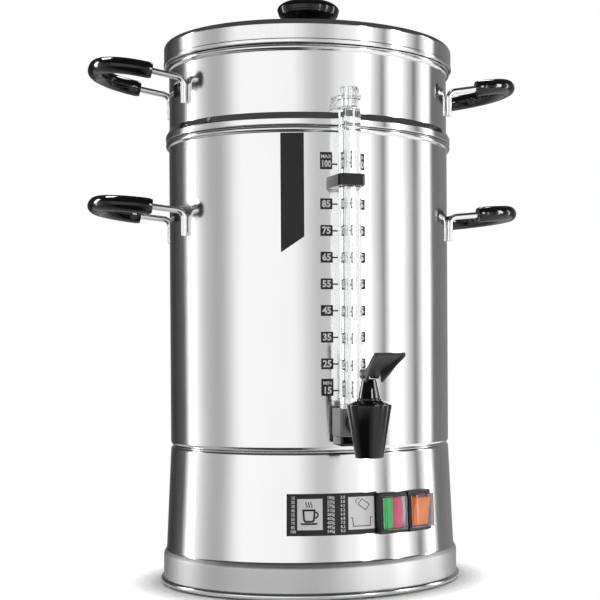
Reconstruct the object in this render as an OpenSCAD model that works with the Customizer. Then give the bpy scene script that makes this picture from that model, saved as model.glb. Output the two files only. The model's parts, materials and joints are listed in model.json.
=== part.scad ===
// Round-filter coffee urn: heated base, tall vessel with tap and sight gauge,
// stacked filter pot and lid.
// Millimetres, +Z up, origin on the urn's axis at floor level, tap towards -Y.

/* [Vessel] */
// Outside diameter of the vessel
vessel_d = 268; // [240:1:300]
// Height of the vessel from the seam to the top of its rim
vessel_h = 288; // [260:1:340]
// Thickness of the steel sheet
sheet_t = 1; // [0.8:0.1:1.3]
// Height of the rolled rim beads
rim_d = 6; // [5:0.5:9]
// Rounding of the two edges at the seam
seam_round = 4; // [2:0.5:6]

/* [Base] */
// Height of the base from the floor to the seam
base_h = 131; // [120:1:150]
// How far the rubber feet hold the bead off the floor
foot_stand = 1; // [0.6:0.1:3]
// Diameter of the roll at the foot
foot_roll = 6; // [4:0.5:8]
// How far the foot roll stands proud of the foot band
roll_proud = 2.75; // [1:0.25:4]
// Height of the foot band above the floor
band_h = 27; // [22:1:32]
// How far the foot band stands proud of the cone
band_step = 2.85; // [1.5:0.05:4]
// Height of the rounded step above the foot band
step_h = 8; // [5:1:12]
// How much wider the cone is at its foot, each side
cone_flare = 4.4; // [2:0.2:7]
// Width of the ledge that carries the vessel
ledge_w = 12; // [8:1:18]

/* [Filter pot] */
// Height of the pot from its seat to the top of its rim
pot_h = 71.7; // [60:0.1:95]
// Depth of the pot below its seat
pot_drop = 22; // [16:1:26]
// Room between the sunk part of the pot and the vessel
pot_room = 3; // [2:0.5:5]
// How much narrower than the vessel the pot is, each side
pot_inset = 0.4; // [0:0.1:1]
// Height of the upright shoulder band
shoulder_h = 5.5; // [3:0.5:8]
// Height of the slope above the shoulder band
slope_h = 6; // [4:0.5:9]
// How far the shoulder band stands proud of the pot
shoulder_proud = 3.4; // [2:0.2:4]
// Diameter of the pot's chimney
chimney_d = 24; // [20:1:30]
// Diameter of the holes in the screen and the spreader
hole_d = 4; // [2.5:0.5:5]

/* [Lid] */
// Height of the lid's wall
lid_wall_h = 21.7; // [16:0.1:28]
// Rounding of the lid's upper edge
lid_round = 5.7; // [3:0.1:8]
// Rise of the dome above the lid's edge
dome_h = 14; // [8:1:20]
// Height of the hem at the lid's lower edge
hem_h = 3.2; // [2:0.2:5]
// Depth of the ring that locates the lid in the pot
plug_h = 8; // [5:1:12]
// Diameter of the knob
knob_d = 60; // [50:1:70]
// Height of the knob above the dome
knob_h = 34; // [30:1:45]
// Diameter of the knob's neck
neck_d = 32; // [24:1:40]

/* [Handles] */
// Diameter of the handle wire
rod_d = 5.8; // [5:0.2:7]
// Distance between the two legs of a handle
handle_span = 96; // [84:1:110]
// Height of the legs on the wall
leg_h = 23; // [18:1:30]
// Tilt of the pot's handles above level
pot_tilt = 10; // [0:0.5:15]
// Tilt of the vessel's handles above level
vessel_tilt = 6; // [0:0.5:15]
// Height of the pot's handles above the pot's seat
pot_handle_z = 51; // [44:0.5:52]
// Height of the vessel's handles above the seam
vessel_handle_z = 218; // [180:0.5:240]
// Thickness of the grip
grip_d = 15; // [12:0.5:17]
// Length of bare wire between the legs and the grip
bare_rod = 29; // [22:1:34]
// Straight length of each side of the grip
grip_run = 3; // [1:0.5:20]
// Straight length of the grip across its end
grip_flat = 10; // [2:1:40]

/* [Gauge] */
// Outside diameter of the sight tube
tube_d = 19.5; // [16:0.5:22]
// Wall of the sight tube
tube_t = 2; // [1.5:0.25:3]
// Distance from the vessel wall to the tube's axis
gauge_stand = 24.5; // [22:0.5:30]
// Height of the tube's top above the seam
tube_top = 306.5; // [270:0.5:330]
// Height of the tube's cap
cap_h = 11; // [8:0.5:15]
// Height of the clip above the seam
clip_z = 237; // [180:1:270]
// Height of the clip
clip_h = 10; // [7:0.5:13]

/* [Tap] */
// Distance from the vessel wall to the spout's axis
tap_reach = 84; // [78:1:95]
// Height of the shank's axis above the seam
shank_z = 27; // [24:0.5:34]
// Diameter of the shank
shank_d = 18; // [16:0.5:20]
// Width of the tee fitting
tee_w = 27; // [24:1:34]
// Depth of the tee fitting
tee_l = 31; // [27:1:36]
// Height of the tee fitting
tee_h = 24; // [22:0.5:30]
// Diameter of the spout at its top
spout_top_d = 38; // [34:0.5:42]
// Diameter of the spout at its mouth
spout_low_d = 23.6; // [22:0.2:28]
// Height of the spout
spout_h = 44.5; // [42:0.5:50]
// Diameter of the valve seat's hole
seat_d = 13; // [10:0.5:15]
// Height of the bonnet above the spout
bonnet_h = 21; // [19:0.5:26]
// Diameter of the valve stem
stem_d = 6; // [5:0.5:6.5]
// Diameter of the lever's pin
lever_pin_d = 3; // [2.5:0.25:3.5]
// Length of the lever from its pin to its tip
lever_l = 66; // [50:1:80]
// Width of the lever at its tip
lever_w = 25; // [18:1:32]
// Tilt of the lever above level
lever_tilt = 17; // [12:1:22]

/* [Controls] */
// Height of the lamps and the switch above the floor
panel_z = 74.4; // [66:0.1:84]
// Angle of the lamp unit from the tap
lamp_angle = 18; // [16:0.5:30]
// Room between the lamp unit and the switch at the wall
bezel_gap = 0.7; // [0.4:0.1:6]
// Width of the two bezels
bezel_w = 29.3; // [26:0.1:34]
// Height of the two bezels
bezel_h = 36.6; // [32:0.1:44]
// How far the bezels stand off the wall
bezel_t = 7; // [4:0.5:9]
// Tilt of the rocker to either side
rocker_tilt = 10; // [5:0.5:11]

/* [Inside] */
// Diameter of the heater well
well_d = 70; // [60:1:80]
// Depth of the heater well
well_h = 24; // [18:1:30]
// Diameter of the heater plate
plate_d = 170; // [150:1:190]
// Diameter of the heater's tube
heater_d = 8; // [6:0.5:10]
// Diameter of the riser tube
riser_d = 16; // [12:0.5:17]
// Diameter of the bell at the riser's foot
bell_d = 58; // [48:1:58]
// Diameter of the tie rod
tie_d = 6; // [5:0.5:8]
// Diameter of the circle that the feet stand on
feet_circle = 220; // [190:1:235]
// Diameter of a rubber foot
foot_d = 24; // [18:1:30]
// Diameter of the hole in the cord inlet
inlet_d = 8; // [7:0.5:10]
// Height of the cord inlet above the floor
inlet_z = 50; // [45:1:60]

/* [Hidden] */
$fn = 96;
// Facets of a cut that follows the vessel's wall
wall_fn = 360;
// Clearance between bodies that lift or turn apart
seat_gap = 0.3;
// Radial clearance of pins and stems that run in a bore
run_gap = 0.05;
// Clearance between pieces that are fixed to each other
fix_gap = 0.1;

vessel_r = vessel_d / 2;
vessel_in_r = vessel_r - sheet_t;
z_seam = base_h;
z_rim = z_seam + vessel_h;
z_pot = z_rim + seat_gap;
z_pot_rim = z_pot + pot_h;
z_lid = z_pot_rim + seat_gap;
z_lid_edge = z_lid + lid_wall_h;
z_dome = z_lid_edge + dome_h;

// The cone, from the step above the foot band to the rounding at the seam
z_step = band_h + step_h;
cone_low_r = vessel_r + cone_flare;
band_r = cone_low_r + band_step;
cone_slope = atan(cone_flare / (z_seam - seam_round - z_step));
ledge_in_r = vessel_r - seam_round - ledge_w;

pot_r = vessel_r - pot_inset;
pot_sunk_r = vessel_in_r - pot_room;
pot_floor_z = z_pot - pot_drop;
pot_corner = 6;
screen_seat = 9;
screen_t = 1.2;
screen_rows = 9;
spreader_rise = 40;
spreader_room = 6;
spreader_z = z_pot + spreader_rise;
spreader_r = pot_r - sheet_t - spreader_room;
drain_d = 14;
chimney_collar = 4;
chimney_top = spreader_z + 6;
chimney_low = pot_floor_z - 4;

lid_r = pot_r + rim_d / 2;
hem_proud = 0.4;
lid_plug_r = pot_r - sheet_t - 2;
knob_hole_d = 5;
knob_seat = 2;
knob_hole_h = 14;

plate_t = 5;
well_r = well_d / 2;
z_floor_in = z_seam + sheet_t;
z_well = z_floor_in - well_h;
heater_ring_r = well_r + 19;
heater_pin_h = 14;
heater_gap_angle = 24;
heater_pin_angle = heater_gap_angle / 2 + 5;
z_heater = z_seam - plate_t - fix_gap - heater_d / 2;
base_plate_z = foot_stand + foot_roll + 1;
base_plate_t = 1.5;
base_plate_r = band_r - sheet_t - seat_gap;
tie_nut_h = 5;
screw_d = 4;
foot_h = base_plate_z;
foot_sink = 3;
thermostat_angle = 215;
thermostat_r = well_r + 38;
thermostat_d = 22;
thermostat_h = 11;
thermostat_tab = 5;
z_thermostat = z_seam - plate_t - thermostat_h - fix_gap;
block_size = [54, 20, 18];
block_room = 42;
block_y = base_plate_r - block_room - block_size[1];
post_d = 7;
post_depth = 8;
inlet_angle = 180;
inlet_wall = 2;
wire_d = 2.6;
bell_h = 16;
bell_stand = 2;
riser_top = chimney_top + 6;

gauge_y = -(vessel_r + gauge_stand);
tube_in_d = tube_d - 2 * tube_t;
tap_y = -(vessel_r + tap_reach);
z_shank = z_seam + shank_z;
tee_low = z_shank - tee_h / 2;
tee_top = z_shank + tee_h / 2;
tee_chamfer = 1.5;
flow_d = 10;
socket_h = 6;
seal_t = 2;
nut_h = 6;
washer_t = 3;
inlet_pipe_d = 18;
pipe_socket = 5;
plug_nut_h = 8;
plug_margin = 0.4;
z_tube = tee_top - socket_h + seal_t;
z_tube_top = z_seam + tube_top;
cap_flange_h = 4.2;
cap_plug_h = 6;
cap_ribs = 16;

spout_rise = 17.5;
z_spout_top = z_shank + spout_rise;
z_spout = z_spout_top - spout_h;
chamber_d = spout_top_d - 10;
chamber_h = 23.5;
z_seat = z_spout_top - chamber_h;
seat_t = 4;
mouth_d = spout_low_d - 5;
cup_d = seat_d + 5;
cup_h = 6;
bonnet_low_d = 18.4;
bonnet_top_d = 11.8;
bonnet_skirt_d = spout_top_d - 3;
bonnet_skirt_h = 3;
collar_d = 20.5;
collar_h = 5;
spigot_h = 4;
z_bonnet = z_spout_top + bonnet_h;
heel_r = 4;
heel_lead = 4;
z_lever_pin = z_bonnet + seat_gap + heel_r;
lever_root = 7;
lever_root_w = stem_d + 8;
lever_t = 2.2;
flange_t = 1.8;
flange_root = lever_root + 6;
flange_deep = 7;
flange_tip = 0.8;
cheek_gap = 0.3;
eye_w = stem_d;
spring_wire = 1.2;
spring_turns = 5;
spring_mean_d = stem_d + 6;

switch_angle = lamp_angle + 2 * asin((bezel_w + bezel_gap) / (2 * cone_r(panel_z)));
bezel_side = 4.5;
bezel_end = 4.3;
opening_w = bezel_w - 2 * bezel_side;
opening_h = bezel_h - 2 * bezel_end;
neck_wall = 1.5;
neck_w = opening_w + 2 * neck_wall;
neck_h = opening_h + 2 * neck_wall;
neck_depth = 10;
cutout_gap = 0.3;
rocker_w = opening_w - 2;
rocker_h = opening_h - 3.4;
rocker_pin_d = 3;
rocker_pivot = 2;
rocker_depth = 6;
rocker_proud = 2.6;
rocker_dip = 0.8;
rocker_face = bezel_t + rocker_proud - rocker_pivot;
rocker_end = rocker_pivot + rocker_h / 2 * sin(rocker_tilt) + rocker_face * cos(rocker_tilt);
lens_gap = 0.4;
lens_sunk = 0.5;
cover_t = 0.8;
cover_lap = 1;
lamp_cover_rise = 6;
switch_cover_rise = rocker_end - bezel_t + 1.2 + cover_t;
case_depth = 12;
tab_l = 8;

steel = "gainsboro";
dark_steel = "darkgray";
black = [0.08, 0.08, 0.08];
dark_grey = [0.25, 0.25, 0.26];
clear = [0.85, 0.9, 0.95, 0.4];

// Points of an arc about c
function arc(c, r, from, to, steps = 6) =
  [for (i = [0:steps]) let (a = from + (to - from) * i / steps) c + r * [cos(a), sin(a)]];

// Points of an S-shaped step that narrows by w as it rises by h
function ogee(r, z, w, h, steps = 8) =
  [for (i = [0:steps]) [r - w * (1 - cos(180 * i / steps)) / 2, z + h * i / steps]];

// Unit normal to the left of the run from a to b
function left_normal(a, b) = let (d = b - a) [-d[1], d[0]] / norm(d);

// The path moved to its left by t, with mitred corners
function inset(path, t) = let (last = len(path) - 1) [
  for (i = [0:last])
    let (n0 = left_normal(path[max(i - 1, 0)], path[max(i, 1)]))
    let (n1 = left_normal(path[min(i, last - 1)], path[min(i + 1, last)]))
    path[i] + t * (n0 + n1) / (1 + n0 * n1)
];

function reversed(list) = [for (i = [len(list) - 1:-1:0]) list[i]];

// Profile of a sheet whose outer face follows the path, with the metal to its left
module sheet(path, t = sheet_t) {
  polygon(concat(path, reversed(inset(path, t))));
}

// Outer half of a rolled bead on a wall whose outer face is at r
module bead(r, z, d) {
  intersection() {
    translate([r, z]) circle(d = d);
    translate([r - sheet_t, z - d]) square([d, 2 * d]);
  }
}

// Round bar from a to b along Y, about the line x = 0 at height z
module bar_y(y0, y1, z, d) {
  translate([0, min(y0, y1), z]) rotate([-90, 0, 0]) cylinder(d = d, h = abs(y1 - y0));
}

// Unit vector along v
function unit(v) = v / norm(v);

// Direction of the path at each of its points
function tangents(points) = let (last = len(points) - 1) [
  for (i = [0:last])
    unit(points[min(i + 1, last)] - points[max(i - 1, 0)])
];

// The vector u carried along the path without twist, square to each direction
function carried(directions, u, i = 0) =
  i == len(directions) ? [] :
  let (v = unit(u - (u * directions[i]) * directions[i]))
  concat([v], carried(directions, v, i + 1));

// Tube of round section swept through points, with flat ends
module swept(points, d, sides = 8) {
  last = len(points) - 1;
  directions = tangents(points);
  start = abs(directions[0][0]) > 0.9 ? [0, 1, 0] : [1, 0, 0];
  across = carried(directions, start);
  rings = [
    for (i = [0:last])
      let (v = cross(directions[i], across[i]))
      for (k = [0:sides - 1])
        let (a = 360 * k / sides)
        points[i] + d / 2 * (cos(a) * across[i] + sin(a) * v)
  ];
  triangles = [
    for (i = [0:last - 1])
      for (k = [0:sides - 1])
        let (a = i * sides + k, b = i * sides + (k + 1) % sides)
        for (half = [0, 1])
          half == 0 ? [a, a + sides, b + sides] : [a, b + sides, b]
  ];
  ends = [
    [for (k = [0:sides - 1]) k],
    [for (k = [sides - 1:-1:0]) last * sides + k]
  ];
  polyhedron(rings, concat(triangles, ends));
}

// Radius of the base's cone at height z
function cone_r(z) = cone_low_r - (z - z_step) * tan(cone_slope);

// Point that lies out of the base's cone by out, along the cone's normal at height z
function cone_point(angle, z, out) =
  let (r = cone_r(z) + out * cos(cone_slope))
  [r * sin(angle), -r * cos(angle), z + out * sin(cone_slope)];

// Frame on the base's cone: x along the wall, y up it, z out of it
module on_cone(angle, z) {
  rotate([0, 0, angle])
    translate([0, -cone_r(z), z])
      rotate([90 - cone_slope, 0, 0])
        children();
}

// Block centred on x and y, from z0 to z1
module block(w, h, z0, z1) {
  translate([-w / 2, -h / 2, z0]) cube([w, h, z1 - z0]);
}

// Distance from the axis at which a handle's legs stand beside a wall of radius r
function leg_x(r) = sqrt(pow(r + rod_d / 2 + fix_gap, 2) - pow(handle_span / 2, 2));

grip_corner = (handle_span - grip_flat) / 2;
handle_run = bare_rod + grip_run + grip_corner;
rod_bend = rod_d + 1.5;

// Bent U from the end of the bare wire round to the other side, of thickness d
module handle_loop(d, from) {
  for (s = [-1, 1]) {
    translate([from, s * handle_span / 2, 0])
      rotate([0, 90, 0]) cylinder(d = d, h = handle_run - grip_corner - from);
    translate([handle_run - grip_corner, s * grip_flat / 2, 0])
      rotate([0, 0, s > 0 ? 0 : -90])
        rotate_extrude(angle = 90) translate([grip_corner, 0]) circle(d = d);
  }
  translate([handle_run, -grip_flat / 2, 0])
    rotate([-90, 0, 0]) cylinder(d = d, h = grip_flat);
}

// Points of half the handle wire: up a leg, outwards and round to the middle of the end
function half_rod(tilt) =
  let (tangent = rod_bend * tan((90 - tilt) / 2))
  let (corner_x = handle_run - grip_corner)
  concat(
    [[0, -handle_span / 2, -leg_h]],
    [for (p = arc([rod_bend, -tangent], rod_bend, 180, 90 + tilt)) [p[0], -handle_span / 2, p[1]]],
    [
      for (p = arc([corner_x, -grip_flat / 2], grip_corner, -90, 0, 9))
        [p[0] * cos(tilt), p[1], p[0] * sin(tilt)]
    ]
  );

// Handle wire: two legs on the wall, bent outwards into one loop
module handle_rod(tilt) {
  half = half_rod(tilt);
  swept(concat(half, [for (p = reversed(half)) [p[0], -p[1], p[2]]]), rod_d, 12);
}

// Grip: moulded over the loop, with its ends open round the wire
module handle_grip(tilt) {
  rotate([0, -tilt, 0])
    difference() {
      handle_loop(grip_d, bare_rod);
      handle_loop(rod_d + 2 * fix_gap, bare_rod - 1);
    }
}

module vessel_handle_place() {
  translate([leg_x(vessel_r), 0, z_seam + vessel_handle_z]) children();
}

module pot_handle_place() {
  translate([leg_x(pot_r), 0, z_pot + pot_handle_z]) children();
}

module base_shell() {
  roll_r = band_r + roll_proud - foot_roll / 2;
  top_c = [vessel_r - seam_round, z_seam - seam_round];
  path = concat(
    [[band_r, foot_stand + foot_roll / 2]],
    ogee(band_r, band_h, band_step, step_h),
    arc(top_c, seam_round, 0, 90),
    [[ledge_in_r, z_seam]]
  );
  color(steel)
    difference() {
      rotate_extrude() {
        sheet(path);
        translate([roll_r, foot_stand + foot_roll / 2]) circle(d = foot_roll);
      }
      for (angle = [lamp_angle, switch_angle])
        on_cone(angle, panel_z)
          block(neck_w + 2 * cutout_gap, neck_h + 2 * cutout_gap, -neck_depth, neck_depth);
      on_cone(inlet_angle, inlet_z)
        translate([0, 0, -neck_depth])
          cylinder(d = inlet_d + 2 * inlet_wall + 2 * fix_gap, h = 2 * neck_depth);
    }
}

module base_plate() {
  color(dark_steel)
    difference() {
      translate([0, 0, base_plate_z]) cylinder(r = base_plate_r, h = base_plate_t);
      translate([0, 0, base_plate_z - 1]) cylinder(d = tie_d + 2 * fix_gap, h = base_plate_t + 2);
      feet_places()
        translate([0, 0, base_plate_z - 1]) cylinder(d = screw_d + 2 * fix_gap, h = base_plate_t + 2);
    }
}

// The four places of the feet, at floor level
module feet_places() {
  for (i = [0:3])
    rotate([0, 0, 45 + 90 * i]) translate([feet_circle / 2, 0, 0]) children();
}

module feet() {
  color(black)
    feet_places()
      difference() {
        cylinder(d1 = foot_d - 3, d2 = foot_d, h = foot_h);
        translate([0, 0, -1]) cylinder(d = screw_d + 2 * fix_gap, h = foot_h + 2);
        translate([0, 0, -1]) cylinder(d = 2 * screw_d + 2, h = foot_sink + 1);
      }
}

module plate_screws() {
  head_h = 2;
  head_low = foot_sink - head_h;
  nut_low = base_plate_z + base_plate_t;
  nut_h = 3;
  end = nut_low + nut_h + 2;
  slot = [2 * screw_d, 1, 0.8];
  color(dark_steel)
    feet_places()
      difference() {
        union() {
          translate([0, 0, foot_sink]) cylinder(d = screw_d, h = end - foot_sink);
          translate([0, 0, head_low]) cylinder(d = 2 * screw_d, h = head_h);
          translate([0, 0, nut_low]) cylinder(d = 2 * screw_d, h = nut_h, $fn = 6);
        }
        translate([-slot[0] / 2, -slot[1] / 2, head_low - 1]) cube(slot + [0, 0, 1]);
      }
}

module tie_rod() {
  low = base_plate_z - tie_nut_h - 1;
  color(dark_steel) translate([0, 0, low]) cylinder(d = tie_d, h = z_well - low);
}

module tie_nut() {
  color(dark_steel)
    translate([0, 0, base_plate_z - tie_nut_h])
      difference() {
        cylinder(d = 2 * tie_d, h = tie_nut_h, $fn = 6);
        translate([0, 0, -1]) cylinder(d = tie_d + 2 * fix_gap, h = tie_nut_h + 2);
      }
}

module vessel() {
  path = concat(
    [[well_r, z_seam]],
    arc([vessel_r - seam_round, z_seam + seam_round], seam_round, -90, 0),
    [[vessel_r, z_rim - rim_d / 2]]
  );
  color(steel)
    difference() {
      rotate_extrude() {
        sheet(path);
        bead(vessel_r, z_rim - rim_d / 2, rim_d);
      }
      bar_y(-vessel_r - 5, -vessel_r + 10, z_shank, shank_d + 2 * fix_gap);
      bar_y(-vessel_r - 5, -vessel_r + 5, z_seam + clip_z, screw_d + 2 * fix_gap);
    }
}

module heater_well() {
  path = [
    [0, z_well],
    [well_r - 3, z_well],
    [well_r - fix_gap, z_well + 3],
    [well_r - fix_gap, z_floor_in + fix_gap],
    [well_r + 6, z_floor_in + fix_gap]
  ];
  color(steel) rotate_extrude() sheet(path);
}

module heater_plate() {
  color(dark_steel)
    translate([0, 0, z_seam - plate_t])
      difference() {
        cylinder(d = plate_d, h = plate_t - fix_gap);
        translate([0, 0, -1]) cylinder(r = well_r + 1, h = plate_t + 2);
      }
}

module heater_ring() {
  color(dark_steel) {
    translate([0, 0, z_heater])
      rotate([0, 0, 90 + heater_gap_angle / 2])
        rotate_extrude(angle = 360 - heater_gap_angle)
          translate([heater_ring_r, 0]) circle(d = heater_d);
    for (s = [-1, 1])
      rotate([0, 0, 90 + s * heater_pin_angle])
        translate([heater_ring_r, 0, z_heater - heater_pin_h])
          cylinder(d = heater_d / 2, h = heater_pin_h);
  }
}

module thermostat() {
  color(black)
    rotate([0, 0, thermostat_angle])
      translate([thermostat_r, 0, z_thermostat]) {
        cylinder(d = thermostat_d, h = thermostat_h);
        for (s = [-1, 1])
          translate([s * thermostat_tab, 0, 0]) block(2, 6, -tab_l, 1);
      }
}

module terminal_block() {
  pitch = block_size[0] / 3;
  color("ivory")
    translate([-block_size[0] / 2, block_y, base_plate_z + base_plate_t])
      difference() {
        cube(block_size);
        for (i = [0:2])
          translate([pitch * (i + 0.5), block_size[1] / 2, block_size[2] - post_depth])
            cylinder(d = post_d, h = post_depth + 1);
      }
}

// Internal wires from the terminal block to the heater, the thermostat and the switch
module wires() {
  block_top = base_plate_z + base_plate_t + block_size[2];
  post_z = block_top - post_depth + seat_gap;
  post_y = block_y + block_size[1] / 2;
  pitch = block_size[0] / 3;
  pair = wire_d / 2 + seat_gap;
  rise = 14;
  rise_z = block_top + rise;
  lead = 12;
  bend_left = [-48, 30];
  bends_right = [[80, 30], [84, -30]];
  pin_at = heater_ring_r * [sin(heater_pin_angle), cos(heater_pin_angle)];
  pin_z = z_heater - heater_pin_h - seat_gap;
  tab_at = (thermostat_r + thermostat_tab) * [cos(thermostat_angle), sin(thermostat_angle)];
  tab_z = z_thermostat - tab_l - seat_gap;
  case_end = -neck_depth - case_depth - tab_l - seat_gap;
  color("firebrick") {
    for (s = [-1, 1])
      swept([
        [s * pitch, post_y, post_z],
        [s * pitch, post_y, rise_z],
        [s * pin_at[0], pin_at[1], pin_z - lead],
        [s * pin_at[0], pin_at[1], pin_z]
      ], wire_d);
    swept([
      [-pair, post_y, post_z],
      [-pair, post_y, rise_z],
      [bend_left[0], bend_left[1], rise_z],
      [tab_at[0], tab_at[1], tab_z - lead],
      [tab_at[0], tab_at[1], tab_z]
    ], wire_d);
    swept([
      [pair, post_y, post_z],
      [pair, post_y, rise_z],
      for (bend = bends_right) [bend[0], bend[1], rise_z],
      cone_point(switch_angle, panel_z, case_end - lead),
      cone_point(switch_angle, panel_z, case_end)
    ], wire_d);
  }
}

// Bush in the wall at the rear, held by a nut inside
module cord_inlet() {
  flange_d = inlet_d + 12;
  flange_h = 5;
  bush_d = inlet_d + 2 * inlet_wall;
  low = -neck_depth;
  high = seat_gap + flange_h;
  lock_h = 5;
  color(black)
    on_cone(inlet_angle, inlet_z)
      difference() {
        union() {
          translate([0, 0, low]) cylinder(d = bush_d, h = high - low);
          translate([0, 0, seat_gap]) cylinder(d1 = flange_d, d2 = flange_d - 3, h = flange_h);
          translate([0, 0, -2 * sheet_t - lock_h]) cylinder(d = flange_d, h = lock_h, $fn = 6);
        }
        translate([0, 0, low - 1]) cylinder(d = inlet_d, h = high - low + 2);
      }
}

module riser_tube() {
  low = z_well + sheet_t + bell_stand;
  wall = 1;
  bell_edge = 5;
  foot = [4.5, 4, bell_stand + 3];
  path = [
    [bell_d / 2, low],
    [bell_d / 2 - 3, low + bell_h - bell_edge],
    [riser_d / 2, low + bell_h],
    [riser_d / 2, riser_top]
  ];
  color(steel) {
    rotate_extrude() sheet(path, wall);
    for (i = [0:2])
      rotate([0, 0, 120 * i])
        translate([bell_d / 2 - foot[0] - wall / 2, -foot[1] / 2, low - bell_stand + fix_gap])
          cube(foot);
  }
}

module vessel_handle_right() {
  color(steel) vessel_handle_place() handle_rod(vessel_tilt);
}

module vessel_handle_left() {
  mirror([1, 0, 0]) vessel_handle_right();
}

module vessel_grip_right() {
  color(black) vessel_handle_place() handle_grip(vessel_tilt);
}

module vessel_grip_left() {
  mirror([1, 0, 0]) vessel_grip_right();
}

// Threaded tube through the vessel's wall into the tee
module shank() {
  front = gauge_y + tee_l / 2 - pipe_socket;
  back = -vessel_in_r + washer_t + nut_h + 4;
  color(dark_steel)
    difference() {
      bar_y(front, back, z_shank, shank_d);
      bar_y(front - 1, back + 1, z_shank, flow_d);
    }
}

// Soft washer between the wall and the tee, shaped to the wall
module wall_seal() {
  color(dark_grey)
    difference() {
      bar_y(gauge_y + tee_l / 2, -vessel_r + 4, z_shank, shank_d + 6);
      bar_y(gauge_y, 0, z_shank, shank_d + 2 * fix_gap);
      translate([0, 0, z_seam]) cylinder(r = vessel_r + fix_gap / 2, h = vessel_h, $fn = wall_fn);
    }
}

// Washer inside the vessel, shaped to the wall
module shank_washer() {
  wall_r = vessel_in_r - fix_gap / 2;
  color(dark_grey)
    difference() {
      bar_y(-vessel_r, -vessel_in_r + washer_t, z_shank, shank_d + 12);
      bar_y(-vessel_r - 1, 0, z_shank, shank_d + 2 * fix_gap);
      translate([0, 0, z_seam])
        rotate_extrude($fn = wall_fn) translate([wall_r, 0]) square([2 * washer_t, vessel_h]);
    }
}

module shank_nut() {
  color(dark_steel)
    translate([0, -vessel_in_r + washer_t, z_shank])
      rotate([-90, 0, 0])
        difference() {
          cylinder(d = shank_d + 11, h = nut_h, $fn = 6);
          translate([0, 0, -1]) cylinder(d = shank_d + 2 * fix_gap, h = nut_h + 2);
        }
}

// Plan of the tee: a rectangle with small chamfers, made smaller by a margin all round
module tee_plan(margin) {
  x = tee_w / 2 - margin;
  y = tee_l / 2 - margin;
  dx = x - tee_chamfer;
  dy = y - tee_chamfer;
  polygon([[x, dy], [dx, y], [-dx, y], [-x, dy], [-x, -dy], [-dx, -y], [dx, -y], [x, -dy]]);
}

// Block: shank at the back, tap in front, tube on top
module tee_body() {
  half = tee_l / 2;
  color(dark_grey)
    difference() {
      translate([0, gauge_y, tee_low]) linear_extrude(tee_h) tee_plan(0);
      translate([0, gauge_y, tee_top - socket_h]) cylinder(d = tube_d + 2 * fix_gap, h = socket_h + 1);
      translate([0, gauge_y, tee_low - 1]) cylinder(d = flow_d, h = tee_h + 2);
      translate([0, gauge_y, 0]) {
        bar_y(-half - 1, half + 1, z_shank, flow_d);
        bar_y(half - pipe_socket - fix_gap, half + 1, z_shank, shank_d + 2 * fix_gap);
        bar_y(-half - 1, -half + pipe_socket + fix_gap, z_shank, inlet_pipe_d + 2 * fix_gap);
      }
    }
}

// Cleaning cap under the tee
module plug_nut() {
  color(black)
    translate([0, gauge_y, tee_low - fix_gap]) {
      translate([0, 0, -plug_nut_h]) linear_extrude(plug_nut_h) tee_plan(plug_margin);
      translate([0, 0, -1]) cylinder(d = flow_d - 2 * fix_gap, h = 5);
    }
}

module gauge_tube() {
  color(clear)
    translate([0, gauge_y, z_tube])
      difference() {
        cylinder(d = tube_d, h = z_tube_top - z_tube);
        translate([0, 0, -1]) cylinder(d = tube_in_d, h = z_tube_top - z_tube + 2);
      }
}

module gauge_seal() {
  color("whitesmoke")
    translate([0, gauge_y, tee_top - socket_h])
      difference() {
        cylinder(d = tube_d, h = seal_t);
        translate([0, 0, -1]) cylinder(d = flow_d, h = seal_t + 2);
      }
}

// Vented cap with a ribbed crown and a plug in the tube
module gauge_cap() {
  low = z_tube_top + seat_gap;
  crown_d = tube_d - 1;
  color(clear)
    translate([0, gauge_y, low])
      difference() {
        union() {
          cylinder(d = tube_d + 2, h = cap_flange_h);
          translate([0, 0, cap_flange_h])
            cylinder(d1 = crown_d, d2 = crown_d - 1.5, h = cap_h - cap_flange_h);
          translate([0, 0, -cap_plug_h]) cylinder(d = tube_in_d - 2 * seat_gap, h = cap_plug_h + 1);
        }
        translate([0, 0, -cap_plug_h - 1]) cylinder(d = 3, h = cap_h + cap_plug_h + 2);
        for (i = [0:cap_ribs - 1])
          rotate([0, 0, 360 * i / cap_ribs])
            translate([crown_d / 2 - 0.6, -0.6, cap_flange_h]) cube([3, 1.2, cap_h]);
      }
}

// Clip: tapered block round the tube, with a foot shaped to the wall
module gauge_clip() {
  front_w = tube_d + 3;
  foot_w = tube_d + 10.5;
  front_y = gauge_y - tube_d / 2 - 1.75;
  foot_y = -vessel_r - 3;
  bend = 2;
  color(black)
    translate([0, 0, z_seam + clip_z - clip_h / 2])
      difference() {
        linear_extrude(clip_h)
          polygon([
            [-foot_w / 2, foot_y + 5], [-foot_w / 2, foot_y],
            [-front_w / 2, front_y + bend], [-front_w / 2 + bend, front_y],
            [front_w / 2 - bend, front_y], [front_w / 2, front_y + bend],
            [foot_w / 2, foot_y], [foot_w / 2, foot_y + 5]
          ]);
        translate([0, gauge_y, -1]) cylinder(d = tube_d + 2 * fix_gap, h = clip_h + 2);
        translate([0, 0, -1]) cylinder(r = vessel_r + fix_gap / 2, h = clip_h + 2, $fn = wall_fn);
        bar_y(-vessel_r - 9, 0, clip_h / 2, screw_d + 2 * fix_gap);
      }
}

module clip_screw() {
  z = z_seam + clip_z;
  color(dark_steel) {
    bar_y(-vessel_r - 8, -vessel_in_r + 3, z, screw_d);
    bar_y(-vessel_in_r + 1, -vessel_in_r + 3, z, 2 * screw_d);
  }
}

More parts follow.
